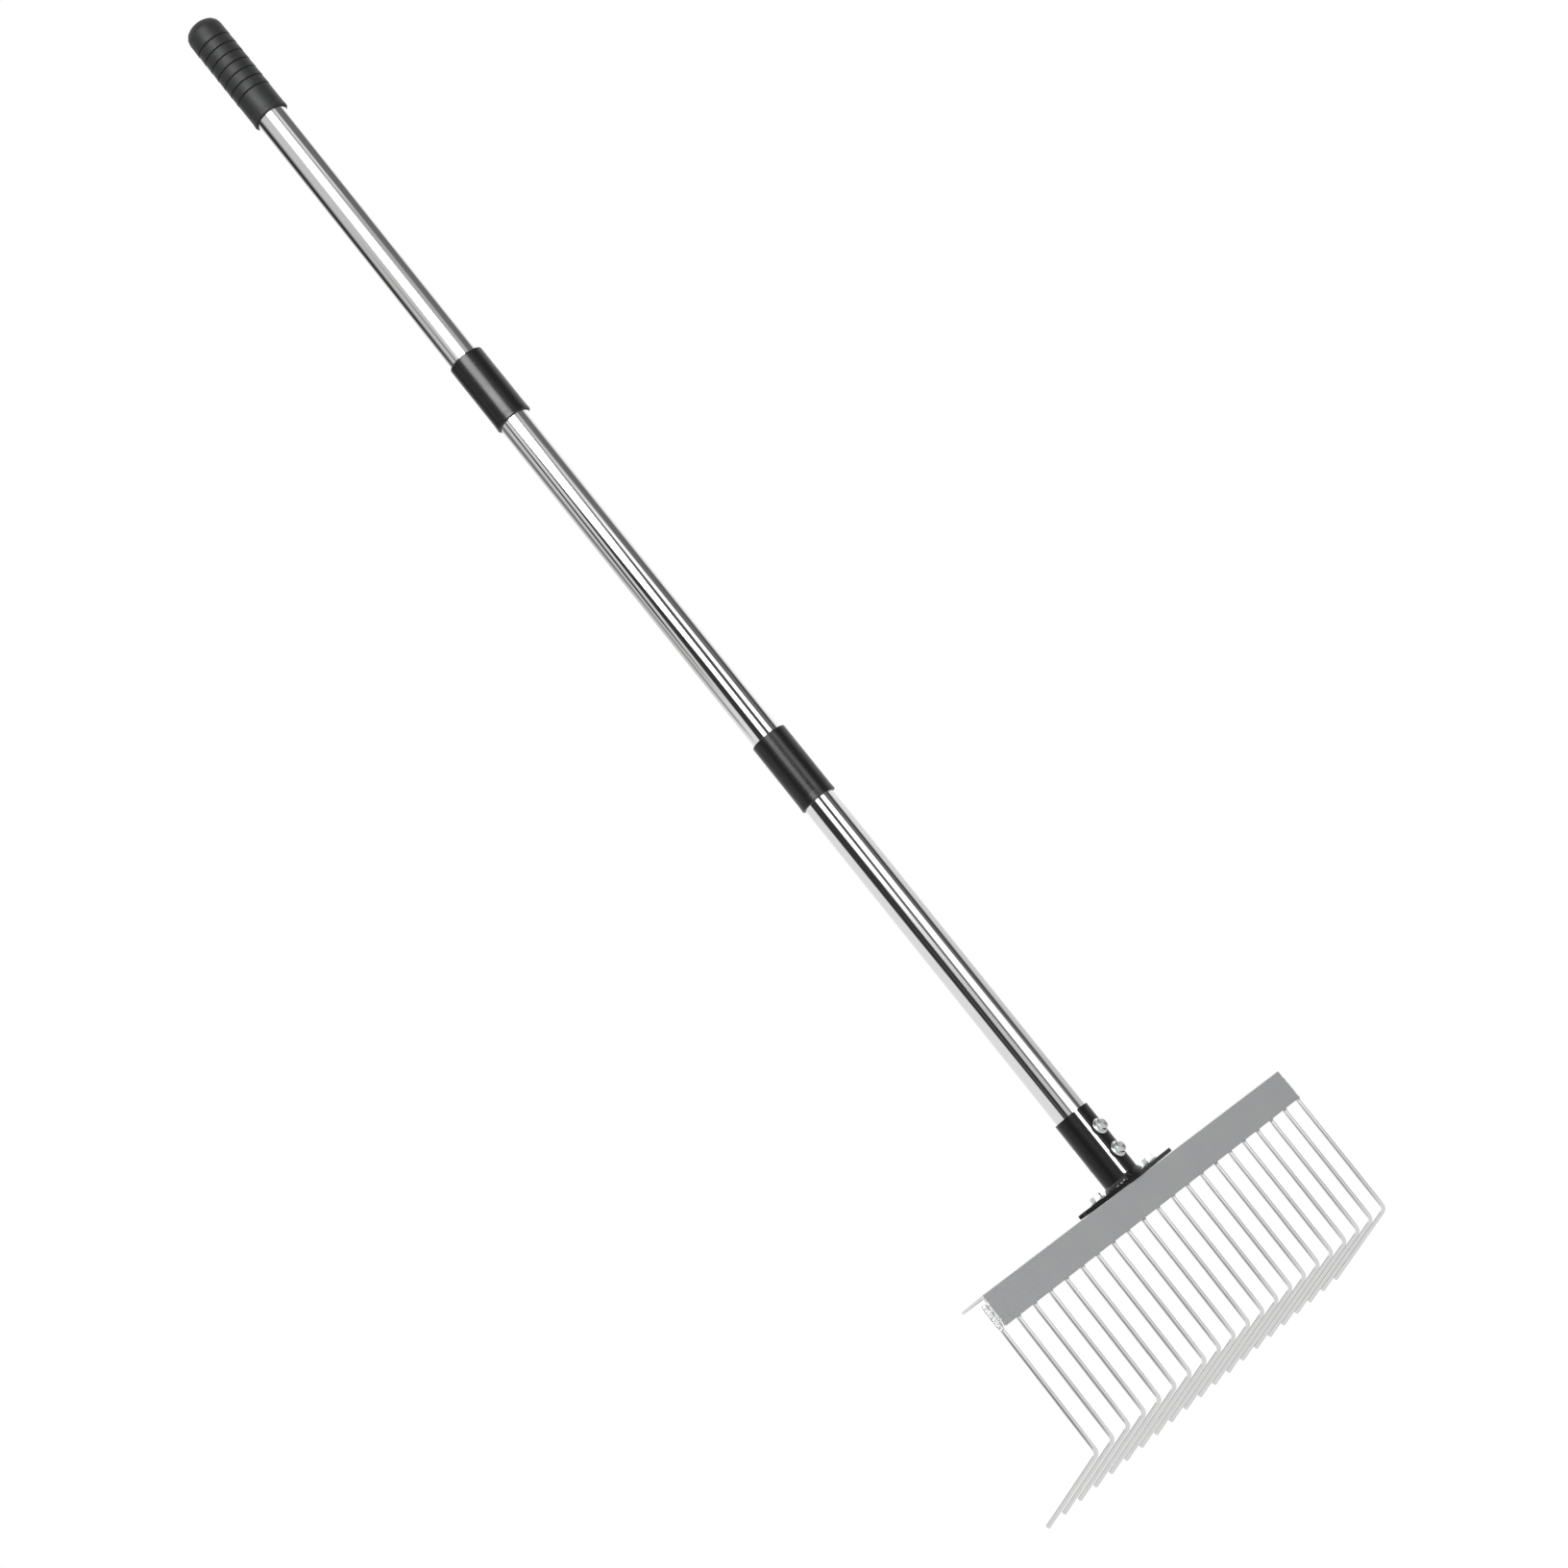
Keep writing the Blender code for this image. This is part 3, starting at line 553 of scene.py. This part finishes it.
def socket_weld():
    """The lumpy fillet round the socket's foot, coated with it, and its spatter."""
    chance = random.Random(3)
    inner, wide, narrow, tall = 14.5, 3.1, 0.72, 3.8

    def spread(angle):
        """The fillet's width at this angle: wide along the bar and narrow across it."""
        side = math.cos(angle) ** 2
        return wide * side + narrow * (1 - side)

    # Out and up, as shares of the fillet's width and height
    section = [(0, 0), (1, 0), (0.95, 0.18), (0.75, 0.42), (0.48, 0.68), (0.26, 0.88), (0.12, 1.0), (0, 1.0)]
    bm = bmesh.new()
    turn(bm, [(inner + out, up) for out, up in section], steps=180)
    counts = (5, 8, 11, 13, 17, 19, 23)
    lumps = [(chance.uniform(0, math.tau), count, chance.uniform(0.02, 0.05)) for count in counts]
    for vert in bm.verts:
        angle = math.atan2(vert.co.y, vert.co.x)
        out, up = vert.co.xy.length / MM - inner, vert.co.z / MM
        slant = angle + 0.12 * (up - 0.5)
        swell = 1 + sum(size * math.sin(count * slant + phase) for phase, count, size in lumps)
        reach = inner + out * spread(angle) * (swell if out > 0.1 else 1)
        rise = up * tall * (0.75 + 0.25 * swell)
        vert.co = Vector((reach * math.cos(angle), reach * math.sin(angle), SOCKET_FOOT + rise)) * MM
    for _ in range(40):
        angle = chance.uniform(0, math.tau)
        share = chance.uniform(0.05, 0.8)
        reach = inner + spread(angle) * share
        z = SOCKET_FOOT + 3.2 * (1 - share)
        spot = Vector((reach * math.cos(angle), reach * math.sin(angle), z)) * MM
        bmesh.ops.create_icosphere(bm, subdivisions=2, radius=chance.uniform(0.3, 0.55) * MM,
                                   matrix=Matrix.Translation(spot))
    bmesh.ops.transform(bm, matrix=ON_POLE, verts=bm.verts)
    finished("socket_fillet_weld", bm, [WELD_COAT], "black_coating", ["socket_weld"], 60)


def plate():
    """The base plate: a lozenge with round tips, whose wings bow up from the bar."""
    hub, tip, tip_x, thickness = 15.5, 4.0, 56, 3
    flat_x, bow = 18, 0.6
    slope = math.asin((hub - tip) / tip_x)
    bm = bmesh.new()
    start = bm.verts.new((0, -hub * MM, 0))
    arc = bmesh.ops.spin(bm, geom=[start], cent=(0, 0, 0), axis=UP, angle=slope, steps=3)["geom_last"]
    begin = Vector((tip_x + tip * math.sin(slope), -tip * math.cos(slope), 0)) * MM
    corner = bm.verts.new(begin)
    bm.edges.new((arc[0], corner))
    bmesh.ops.spin(bm, geom=[corner], cent=(tip_x * MM, 0, 0), axis=UP, angle=math.pi / 2 - slope, steps=6)
    bmesh.ops.mirror(bm, geom=bm.verts[:] + bm.edges[:], merge_dist=0.001 * MM, axis="X")
    bmesh.ops.mirror(bm, geom=bm.verts[:] + bm.edges[:], merge_dist=0.001 * MM, axis="Y")
    bmesh.ops.remove_doubles(bm, verts=bm.verts, dist=0.002 * MM)
    slab(bm, (0, 0, thickness))
    # Cuts across it, so that the wings can bow
    for x in range(-tip_x, tip_x + 1, 4):
        bmesh.ops.bisect_plane(bm, geom=bm.verts[:] + bm.edges[:] + bm.faces[:], dist=0.001 * MM,
                               plane_co=(x * MM, 0, 0), plane_no=(1, 0, 0))
    foot = height("base_plate", 0)
    for vert in bm.verts:
        share = max(0.0, (abs(vert.co.x) / MM - flat_x) / (tip_x + tip - flat_x))
        vert.co.z += (foot + bow * share) * MM
    bmesh.ops.transform(bm, matrix=ON_POLE, verts=bm.verts)
    piece = finished("base_plate_lozenge", bm, [COAT], "black_coating", ["base_plate"])
    carve(piece, plate_drills())
    soften(piece, 0.45, segments=3)


def bar():
    """The angle bar, with a round root, a tight heel and sawn ends."""
    length, leg, wall = 401, 25.4, 1.8
    half = leg / 2
    outline = [(0, half), (0, -half), (wall, -half), (wall, half - wall), (leg, half - wall), (leg, half)]
    outline = rounded(outline, {0: 0.6, 1: 0.2, 2: 0.2, 3: 1.5, 4: 0.2, 5: 0.2}, steps=3)
    bm = bmesh.new()
    chain(bm, [(-length / 2 * MM, y * MM, z * MM) for y, z in outline], closed=True)
    slab(bm, (length, 0, 0))
    piece = finished("angle_bar_steel", bm, [BAR_STEEL, SAWN_STEEL], "matte_steel", ["angle_bar"])
    carve(piece, plate_drills())
    for face in piece.data.polygons:
        at_end = abs(face.normal.x) > 0.9 and abs(face.center.x) > (length / 2 - 0.5) * MM
        face.material_index = 1 if at_end else 0
    soften(piece, 0.12)


# Screws and nuts, along +Z of their place with the head below 0

HEX_WIDTH = 8.0
HEAD_HEIGHT = 4.6
NUT_HEIGHT = 4.0
THREAD_CREST, THREAD_ROOT, THREAD_PITCH = 2.48, 2.05, 0.8


def hex_block(bm, foot, top):
    """A hexagon bar between two heights."""
    corner = HEX_WIDTH / 2 / math.cos(math.pi / 6)
    ring = bmesh.ops.create_circle(bm, segments=6, radius=corner * MM, cap_ends=True,
                                   matrix=place_at(0, 0, foot))["verts"]
    thickened(bm, list(ring[0].link_faces), (0, 0, top - foot))


def thread(bm, foot, top):
    """The helical ridge of an M5 thread."""
    section = [(THREAD_ROOT, 0), (THREAD_CREST, 0.4), (THREAD_CREST, 0.5), (THREAD_ROOT, 0.9)]
    ridge = chain(bm, [(radius * MM, 0, (foot + THREAD_PITCH * part) * MM) for radius, part in section])
    turns = int((top - foot - THREAD_PITCH) / THREAD_PITCH)
    steps = 24
    bmesh.ops.spin(bm, geom=ridge, cent=(0, 0, 0), axis=UP, dvec=(0, 0, THREAD_PITCH * MM / steps),
                   angle=math.tau * turns, steps=steps * turns)


def flange_screw(name, node, place, length, threaded):
    """A cold-headed hex screw with a washer flange, a chamfered dished head and a thread at its end."""
    bm = bmesh.new()
    hex_block(bm, -HEAD_HEIGHT, -0.9)
    head = finished(name, bm, [ZINC], "zinc", [node])
    bm = bmesh.new()
    crown = [
        (0, -0.8), (6, -0.8), (6, -3.2), (4.62, -4.0), (3.7, -4.55), (3.1, -HEAD_HEIGHT), (2.2, -4.35),
        (0, -4.2),
    ]
    turn(bm, crown, closed=False, steps=64)
    carve(head, [finished("cutter", bm)], "INTERSECT")
    bm = bmesh.new()
    bm.from_mesh(head.data)
    flange = rounded([(0, 0), (6.1, 0), (6.1, -0.65), (4.5, -1.3), (0, -1.3)], {1: 0.25, 2: 0.3, 3: 0.5})
    turn(bm, flange, closed=False, steps=64)
    under, core, start = -0.1, 2.1, length - threaded
    pin = rounded([(0, under), (core, under), (core, length), (0, length)], {2: 0.5})
    turn(bm, pin, closed=False, steps=32)
    shank = [
        (0, under), (THREAD_CREST, under), (THREAD_CREST, start), (THREAD_ROOT, start + 0.4),
        (0, start + 0.4),
    ]
    turn(bm, shank, closed=False, steps=32)
    thread(bm, start, length - 0.2)
    bmesh.ops.transform(bm, matrix=place, verts=bm.verts)
    bm.to_mesh(head.data)
    bm.free()
    smooth(head.data)
    soften(head, 0.12, angle=50)


def hex_nut(side, x):
    """A nut with both faces chamfered, under the bar."""
    node = "plate_nut_" + side
    bm = bmesh.new()
    hex_block(bm, -NUT_HEIGHT, 0.0)
    nut = finished("nut_" + side, bm, [ZINC], "zinc", [node])
    bore = 2.5
    section = [
        (bore, 0), (3.7, 0), (4.62, -0.55), (4.7, -2), (4.62, -3.45), (3.7, -NUT_HEIGHT), (2.9, -NUT_HEIGHT),
        (bore, -3.6), (bore, -0.4),
    ]
    bm = bmesh.new()
    turn(bm, section, steps=64)
    carve(nut, [finished("cutter", bm)], "INTERSECT")
    nut.data.transform(place_at(x, POLE_Y, height(node, 1)))
    soften(nut, 0.1, angle=50)


# Tines

WIRE_RADIUS = 1.75


def tine_curve():
    """The tine's centre line: its top, its bend's start, centre and turn, and its lower run."""
    lean, bend = math.radians(0.55), math.radians(76.4)
    y, top_z, corner_z, bend_radius, lower_run = 3.85, 7.1, -115.7, 5.0, 81.8
    top = Vector((0, y, top_z))
    corner = Vector((0, y + (top_z - corner_z) * math.tan(lean), corner_z))
    setback = bend_radius * math.tan((bend - lean) / 2)
    start = corner + Vector((0, -math.sin(lean), math.cos(lean))) * setback
    centre = start + Vector((0, math.cos(lean), math.sin(lean))) * bend_radius
    return top, start, centre, bend - lean, bend, lower_run - setback


def wire(bm, x):
    """A bent round wire with softened ends."""
    top, start, centre, sweep, bend, reach = tine_curve()
    top_radius, tip_radius, top_chamfer, tip_chamfer = 1.45, 1.35, 0.3, 0.4
    shift = Vector((x, 0, 0))
    down = (start - top).normalized()
    facing = down.to_track_quat("Z", "X").to_matrix().to_4x4()
    ring = bmesh.ops.create_circle(bm, segments=20, radius=top_radius * MM,
                                   matrix=Matrix.Translation((top + shift) * MM) @ facing)["verts"]
    edges = list(dict.fromkeys(e for v in ring for e in v.link_edges))
    bmesh.ops.edgeloop_fill(bm, edges=edges)

    def run(edges, vector, grow=1.0):
        """Draws the wire's open end out along a vector, and widens or narrows it."""
        edges, verts = drawn_out(bm, edges)
        bmesh.ops.translate(bm, verts=verts, vec=vector * MM)
        if grow != 1.0:
            middle = sum((v.co for v in verts), Vector()) / len(verts)
            bmesh.ops.scale(bm, vec=(grow,) * 3, verts=verts, space=Matrix.Translation(-middle))
        return edges

    edges = run(edges, down * top_chamfer, WIRE_RADIUS / top_radius)
    edges = run(edges, (start - top) - down * top_chamfer)
    end = edges + list(dict.fromkeys(v for e in edges for v in e.verts))
    spun = bmesh.ops.spin(bm, geom=end, cent=(centre + shift) * MM, axis=(1, 0, 0),
                          angle=sweep, steps=10)["geom_last"]
    edges = [e for e in spun if isinstance(e, bmesh.types.BMEdge)]
    along = Vector((0, math.sin(bend), -math.cos(bend)))
    edges = run(edges, along * (reach - tip_chamfer))
    edges = run(edges, along * tip_chamfer, tip_radius / WIRE_RADIUS)
    bmesh.ops.edgeloop_fill(bm, edges=edges)


def bead(bm, x, y, z, radii):
    """One melted lump of weld, with its radius along each axis."""
    place = Matrix.Translation(Vector((x, y, z)) * MM) @ Matrix.Diagonal((*radii, 1))
    bmesh.ops.create_icosphere(bm, subdivisions=3, radius=MM, matrix=place)


def tine(number, x):
    """A tine and the beads that weld it inside the bar's front leg, heaviest at the leg's lower edge."""
    weld_top, weld_foot, edge_z = 4.8, -11.5, -13.1
    weld_reach, bead_depth = 2.72, 1.15
    chance = random.Random(100 + number)
    bm = bmesh.new()
    wire(bm, x)
    wired = set(bm.faces)
    for side in (-1, 1):
        z = weld_top
        while z > weld_foot:
            wide = chance.uniform(1.1, 1.35)
            y = chance.uniform(3.2, 3.8)
            bead(bm, x + side * (weld_reach - wide), y, z, (wide, bead_depth, chance.uniform(1.3, 2.0)))
            z -= chance.uniform(1.15, 1.6)
    middle = x + chance.uniform(-0.3, 0.3)
    bead(bm, middle, 3.3, edge_z, (chance.uniform(1.9, 2.3), bead_depth, 1.35))
    for face in bm.faces:
        face.material_index = 0 if face in wired else 1
    name = f"tine_{number:02d}"
    finished(name + "_wire", bm, [WIRE_STEEL, BEAD_METAL], "wire", [name], 50)


# All the pieces

for section in ("lower", "middle", "upper"):
    pole_tube(section)
for joint in ("lower", "upper"):
    sleeve(joint)
    # The plug is hidden inside, so it keeps its CAD shape and only gets its plastic
    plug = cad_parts["threaded_plug_" + joint]
    plug.data.materials.clear()
    plug.data.materials.append(SLEEVE_PLASTIC)
hand_cap()
socket()
socket_weld()
plate()
bar()
for which, z in SOCKET_SCREWS:
    node = "socket_bolt_" + which
    front, back = (corner.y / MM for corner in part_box(node))
    seat = front + HEAD_HEIGHT
    place = place_at(0, seat, z, BACKWARDS)
    flange_screw(which + "_socket_screw", node, place, back - seat, threaded=6.5)
for side, x in PLATE_SCREWS:
    node = "plate_bolt_" + side
    seat = height(node, 1) - HEAD_HEIGHT
    place = place_at(x, POLE_Y, seat, DOWNWARDS)
    flange_screw(side + "_plate_screw", node, place, seat - height(node, 0), threaded=9)
    hex_nut(side, x)
for number in range(1, 22):
    low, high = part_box(f"tine_{number:02d}")
    tine(number, (low.x + high.x) / 2 / MM)

# Rounded edges tilt the shading of the flat faces beside them, so the largest faces set the normals
for piece in PIECES:
    even = piece.modifiers.new("flat_faces_reflect_flat", "WEIGHTED_NORMAL")
    even.keep_sharp = True


# Studio, with its distances in metres and its heights on the pole in millimetres

# The camera's place, solved from the photograph's own geometry, and the level ways to it and across it
EYE = Vector((-2.01165232, -1.74299811, -0.04450815))
TOWARD = Vector((EYE.x, EYE.y - AXIS.y, 0))
EYE_DISTANCE = TOWARD.length
TOWARD.normalize()
ASIDE = Vector((-TOWARD.y, TOWARD.x, 0))
CARD_DISTANCE = 2.2
WIRE_CARD_DISTANCE = 1.0


def turned_from_camera(angle):
    """The level way out from the pole, this many degrees round from the way to the camera."""
    turned = math.radians(angle)
    return TOWARD * math.cos(turned) + ASIDE * math.sin(turned)


def glow(name, colour, strength):
    """A glowing sheet for reflections, clear where its cover value falls to 0."""
    material = bpy.data.materials.new(name)
    material.use_nodes = True
    tree = material.node_tree
    tree.nodes.remove(tree.nodes["Principled BSDF"])
    cover = add(tree, "Attribute", attribute_name="cover")
    clear = add(tree, "BsdfTransparent")
    shine = add(tree, "Emission", {"Color": colour, "Strength": strength})
    mix = add(tree, "MixShader", {
        0: cover.outputs["Fac"], 1: clear.outputs["BSDF"], 2: shine.outputs["Emission"]})
    tree.links.new(mix.outputs[0], tree.nodes["Material Output"].inputs["Surface"])
    return material


def reflected(level, angle, distance):
    """Where the pole, at this height in millimetres, mirrors the room at this angle from the camera."""
    climb = (level * MM - EYE.z) / EYE_DISTANCE
    return AXIS + turned_from_camera(angle) * distance + UP * (level * MM + climb * distance)


def card(name, grey, strength, soft, rows, distance):
    """A curved card that only reflections see, whose sides fade out over the soft angle.

    Rows are (height on the pole, left angle, right angle, cover), and the cover fades from row to row.
    """
    inner = 1 + int(max(right - left for _, left, right, _ in rows) / 8)
    bm = bmesh.new()
    layer = bm.verts.layers.float.new("cover")
    verts, edges = [], []
    for level, left, right, cover in rows:
        fade = min(soft, right - left) / 2
        reach = right - left - 2 * fade
        across = [left + fade + reach * step / inner for step in range(inner + 1)]
        angles = [left - fade, *across, right + fade]
        line = [reflected(level, angle, distance) for angle in angles]
        if verts:
            old = {tuple(v.co): step for step, v in enumerate(verts)}
            edges, verts = drawn_out(bm, edges)
            verts.sort(key=lambda v: old[tuple(v.co)])
        else:
            row = chain(bm, line)
            verts, edges = row[:len(line)], row[len(line):]
        for step, (vert, spot) in enumerate(zip(verts, line)):
            vert.co = spot
            vert[layer] = 0 if step in (0, len(line) - 1) else cover
    sheet = finished(name, bm, [glow(name, linear(grey), strength)])
    for ray in ("camera", "diffuse", "transmission", "volume_scatter", "shadow"):
        setattr(sheet, "visible_" + ray, False)


# Greys are what the tube shows, so a card's strength makes up for the tube's own tint.
# A card is its name, grey, strength, soft angle and rows, and the first stands in front
BACK = 1 / 0.72
CARDS = [
    ("streak_card_left", "#323232", BACK, 6, [
        (470, -85, -76, 0), (500, -84, -75, 0.6), (550, -84, -70, 1), (600, -79, -65, 1),
        (650, -74.5, -62.5, 1), (700, -71, -60, 1), (740, -69, -58, 0.9), (810, -68, -55, 0.55),
        (870, -66, -52, 0.3), (940, -64, -50, 0)]),
    ("line_card_left", "#6a6a6a", BACK, 5, [
        (10, -42, -35, 0.7), (95, -42, -35, 0.7), (200, -41, -35, 0.4), (300, -41, -35, 0)]),
    ("dark_card_left", "#343434", BACK, 7, [
        (10, -50, -15.5, 1), (95, -54, -17, 1), (150, -58, -18, 1), (200, -62, -18, 1), (250, -66, -19, 1),
        (350, -70, -21, 1), (450, -60, -21, 1), (500, -57, -20, 1), (550, -53, -23, 1), (600, -49, -26, 1),
        (650, -44.5, -28, 0.95), (700, -42, -29, 0.8), (735, -41, -30, 0.6), (780, -40, -31, 0)]),
    ("dark_card_centre", "#4c4c4c", BACK, 7, [
        (10, 4, 18, 0.8), (95, 4, 18.5, 0.8), (200, 4, 20, 0.85), (300, 3.5, 23, 0.95), (350, 3, 25, 1),
        (450, 2.5, 27, 1), (500, 4, 28, 1), (550, 5, 28, 1), (600, 10, 29, 0.95), (650, 14, 29, 0.8),
        (700, 16, 30, 0.65), (740, 17, 31, 0.5), (780, 19, 32, 0)]),
    ("dim_card_centre", "#bdbdbd", BACK, 8, [
        (10, -16, 4, 1), (150, -17, 4, 1), (250, -17, 4, 0.6), (350, -17, 4, 0)]),
    ("bright_window_high", "#ffffff", 32.0, 8, [
        (690, -28, 16, 0), (715, -28, 17, 1), (770, -27, 19, 1), (810, -26, 20, 0.4), (900, -22, 21, 0.25),
        (950, -20, 21.5, 0.2), (1000, -17.5, 22, 0.2), (1160, -16, 22, 0.2)]),
    ("window_centre", "#ffffff", 12.0, 8, [
        (150, -15, 3, 0), (250, -16, 4, 0.06), (350, -17, 4.5, 0.3), (380, -17.5, 4, 0.7),
        (440, -19.5, 4, 0.7), (500, -20, 5, 0.5), (550, -23, 6.5, 0.8), (600, -25.5, 11, 1),
        (650, -27.5, 14, 1), (700, -28, 16, 1), (760, -28, 19, 1), (800, -27, 20, 0)]),
    ("window_right", "#ffffff", 7.0, 8, [
        (10, 17.5, 60, 0.3), (95, 18, 57, 0.3), (200, 19, 53, 0.35), (300, 22, 50, 0.5),
        (350, 23, 46.5, 0.9), (450, 24.5, 44, 0.9), (500, 26, 43.5, 0.5), (550, 27, 43, 0.3),
        (600, 28, 43.5, 0.12), (650, 29, 44, 0)]),
    ("dark_card_right", "#424242", BACK, 8, [
        (10, 76, 90, 0.8), (95, 75, 90, 0.9), (200, 74, 90, 1), (350, 74, 89, 1), (450, 73, 89, 1),
        (500, 74, 89, 0.8), (560, 75, 89, 0.5), (620, 76, 89, 0)]),
    ("grey_card_right", "#696868", BACK, 11, [
        (10, 64, 97, 0.8), (95, 62, 98, 0.85), (200, 56, 97, 1), (300, 53, 94, 1), (350, 50, 92, 1),
        (450, 47, 91, 1), (600, 47, 92, 1), (725, 48, 93, 1), (810, 50, 98, 1), (900, 52, 101, 1),
        (1000, 52, 107, 1), (1160, 53, 112, 1)]),
    ("pale_card_right_foot", "#bababa", BACK, 16, [
        (10, 88, 150, 1), (95, 90, 150, 0.9), (200, 92, 150, 0.6), (300, 94, 150, 0.3), (380, 94, 150, 0)]),
    ("white_card_right", "#ffffff", 1.35, 12, [
        (330, 100, 172, 0), (450, 104, 172, 1), (800, 108, 172, 1), (1160, 118, 172, 1)]),
    ("pale_card_right_high", "#aaaaaa", BACK, 6, [
        (640, 26, 50, 0), (700, 26, 50, 0.5), (760, 24, 51, 0.9), (810, 22, 51, 1), (930, 22, 51, 1),
        (960, 22, 40, 1), (1160, 22, 37, 1)]),
    ("dark_card_left_high", "#2c2c2c", BACK, 22, [
        (740, -131, -93, 0), (790, -130, -94, 0.9), (850, -128, -91, 1), (900, -125, -87, 1),
        (950, -121, -83, 1), (1000, -118, -79, 1), (1160, -113, -73, 1)]),
    ("grey_card_left_mid", "#707070", BACK, 14, [
        (425, -118, -96, 0), (450, -117, -96, 0.8), (550, -116, -98, 0.7), (600, -120, -98, 1),
        (650, -122, -97, 1), (700, -125, -95, 1), (740, -128, -94, 1), (790, -129, -94, 0)]),
    ("pale_card_left", "#acacac", BACK, 12, [
        (440, -160, -60, 0), (500, -155, -62, 0.6), (600, -158, -55, 0.6), (700, -150, -50, 0.6),
        (780, -150, -48, 0.6), (850, -140, -30, 0.7), (900, -135, -28, 0.7), (1000, -130, -24, 0.6),
        (1160, -125, -22, 0.6)]),
    ("white_card_left_high", "#ffffff", 1.35, 14, [
        (800, -170, -150, 0), (900, -170, -142, 0.7), (1000, -170, -136, 1), (1160, -170, -132, 1)]),
]
for order, entry in enumerate(CARDS):
    card(*entry, CARD_DISTANCE + 0.01 * order)

# Two nearer cards, at the tines' own height, give the bright wires their grey sides
card("wire_card_left", "#949494", 1.0, 14, [(-117, -88, 2, 1), (-14, -88, 2, 1)], WIRE_CARD_DISTANCE)
card("wire_card_right", "#989898", 1.0, 14, [(-117, 92, 140, 1), (-14, 92, 140, 1)], WIRE_CARD_DISTANCE)


def lamp(name, metres_up, angle, distance, size, power):
    """A soft box that faces the rake. Reflections see the cards in its place."""
    data = bpy.data.lights.new(name, "AREA")
    data.shape = "RECTANGLE"
    data.size, data.size_y = size
    data.energy = power
    box = bpy.data.objects.new(name, data)
    bpy.context.collection.objects.link(box)
    box.location = AXIS + turned_from_camera(angle) * distance + UP * metres_up
    middle_of_rake = AXIS + UP * 0.45
    box.rotation_euler = (middle_of_rake - box.location).to_track_quat("-Z", "Y").to_euler()
    box.visible_glossy = False


lamp("key_soft_box", metres_up=1.47, angle=-7, distance=2.5, size=(0.6, 0.4), power=20)
lamp("overhead_soft_box", metres_up=2.9, angle=-120, distance=1.6, size=(1.8, 1.2), power=30)
lamp("side_soft_box", metres_up=1.3, angle=105, distance=2.8, size=(1.0, 1.6), power=20)


def seen_directly(tree, *rays):
    """1 for what these kinds of ray, or one through a clear piece, show, and 0 for the light on things."""
    path = add(tree, "LightPath")
    seen = path.outputs["Is Transmission Ray"]
    for ray in rays:
        seen = add(tree, "Math", {0: seen, 1: path.outputs[ray]}, operation="MAXIMUM").outputs["Value"]
    return seen


def white_room():
    """The world: white to the camera and in reflections, and dimmer as light on the rake."""
    world = bpy.data.worlds.new("white_studio")
    world.use_nodes = True
    bpy.context.scene.world = world
    tree = world.node_tree
    level = add(tree, "MapRange", {
        "Value": seen_directly(tree, "Is Camera Ray", "Is Glossy Ray"), "To Min": 0.62, "To Max": 1.0})
    feed(tree, tree.nodes["Background"], {"Color": (1, 1, 1, 1), "Strength": level.outputs["Result"]})


def pale_floor():
    """The floor: white to the camera but for the rake's shadow, and grey in reflections."""
    paint = bpy.data.materials.new("pale_floor")
    paint.use_nodes = True
    tree = paint.node_tree
    matte = tree.nodes["Principled BSDF"]
    feed(tree, matte, {"Base Color": linear("#f2f2f2"), "Roughness": 0.9})
    share = add(tree, "Math", {
        0: seen_directly(tree, "Is Camera Ray", "Is Glossy Ray"), 1: 0.85}, operation="MULTIPLY")
    strength = add(tree, "MapRange", {
        "Value": seen_directly(tree, "Is Camera Ray"), "To Min": 0.75, "To Max": 1.08})
    shine = add(tree, "Emission", {"Color": (1, 1, 1, 1), "Strength": strength.outputs["Result"]})
    blend = add(tree, "MixShader", {
        0: share.outputs["Value"], 1: matte.outputs["BSDF"], 2: shine.outputs["Emission"]})
    tree.links.new(blend.outputs[0], tree.nodes["Material Output"].inputs["Surface"])
    gap, half_width = 0.0005, 8
    bm = bmesh.new()
    under = Matrix.Translation((0, 0, cad_box[0][2] - gap))
    bmesh.ops.create_grid(bm, x_segments=1, y_segments=1, size=half_width, matrix=under)
    floor = finished("floor", bm, [paint])


white_room()
pale_floor()

# Camera, where the photograph's own geometry puts it
lens = bpy.data.cameras.new("camera")
lens.lens = 85.222
lens.sensor_width = 36.0
lens.clip_start = 0.05
lens.clip_end = 60.0
camera = bpy.data.objects.new("camera", lens)
bpy.context.collection.objects.link(camera)
camera.matrix_world = Matrix((
    (0.5923130905, 0.3179145391, -0.7403347544, EYE.x),
    (-0.5189969790, -0.5522902159, -0.6523937870, EYE.y),
    (-0.6162851115, 0.7706528812, -0.1621320392, EYE.z),
    (0, 0, 0, 1),
))
bpy.context.scene.camera = camera
bpy.context.scene.view_settings.view_transform = "Standard"
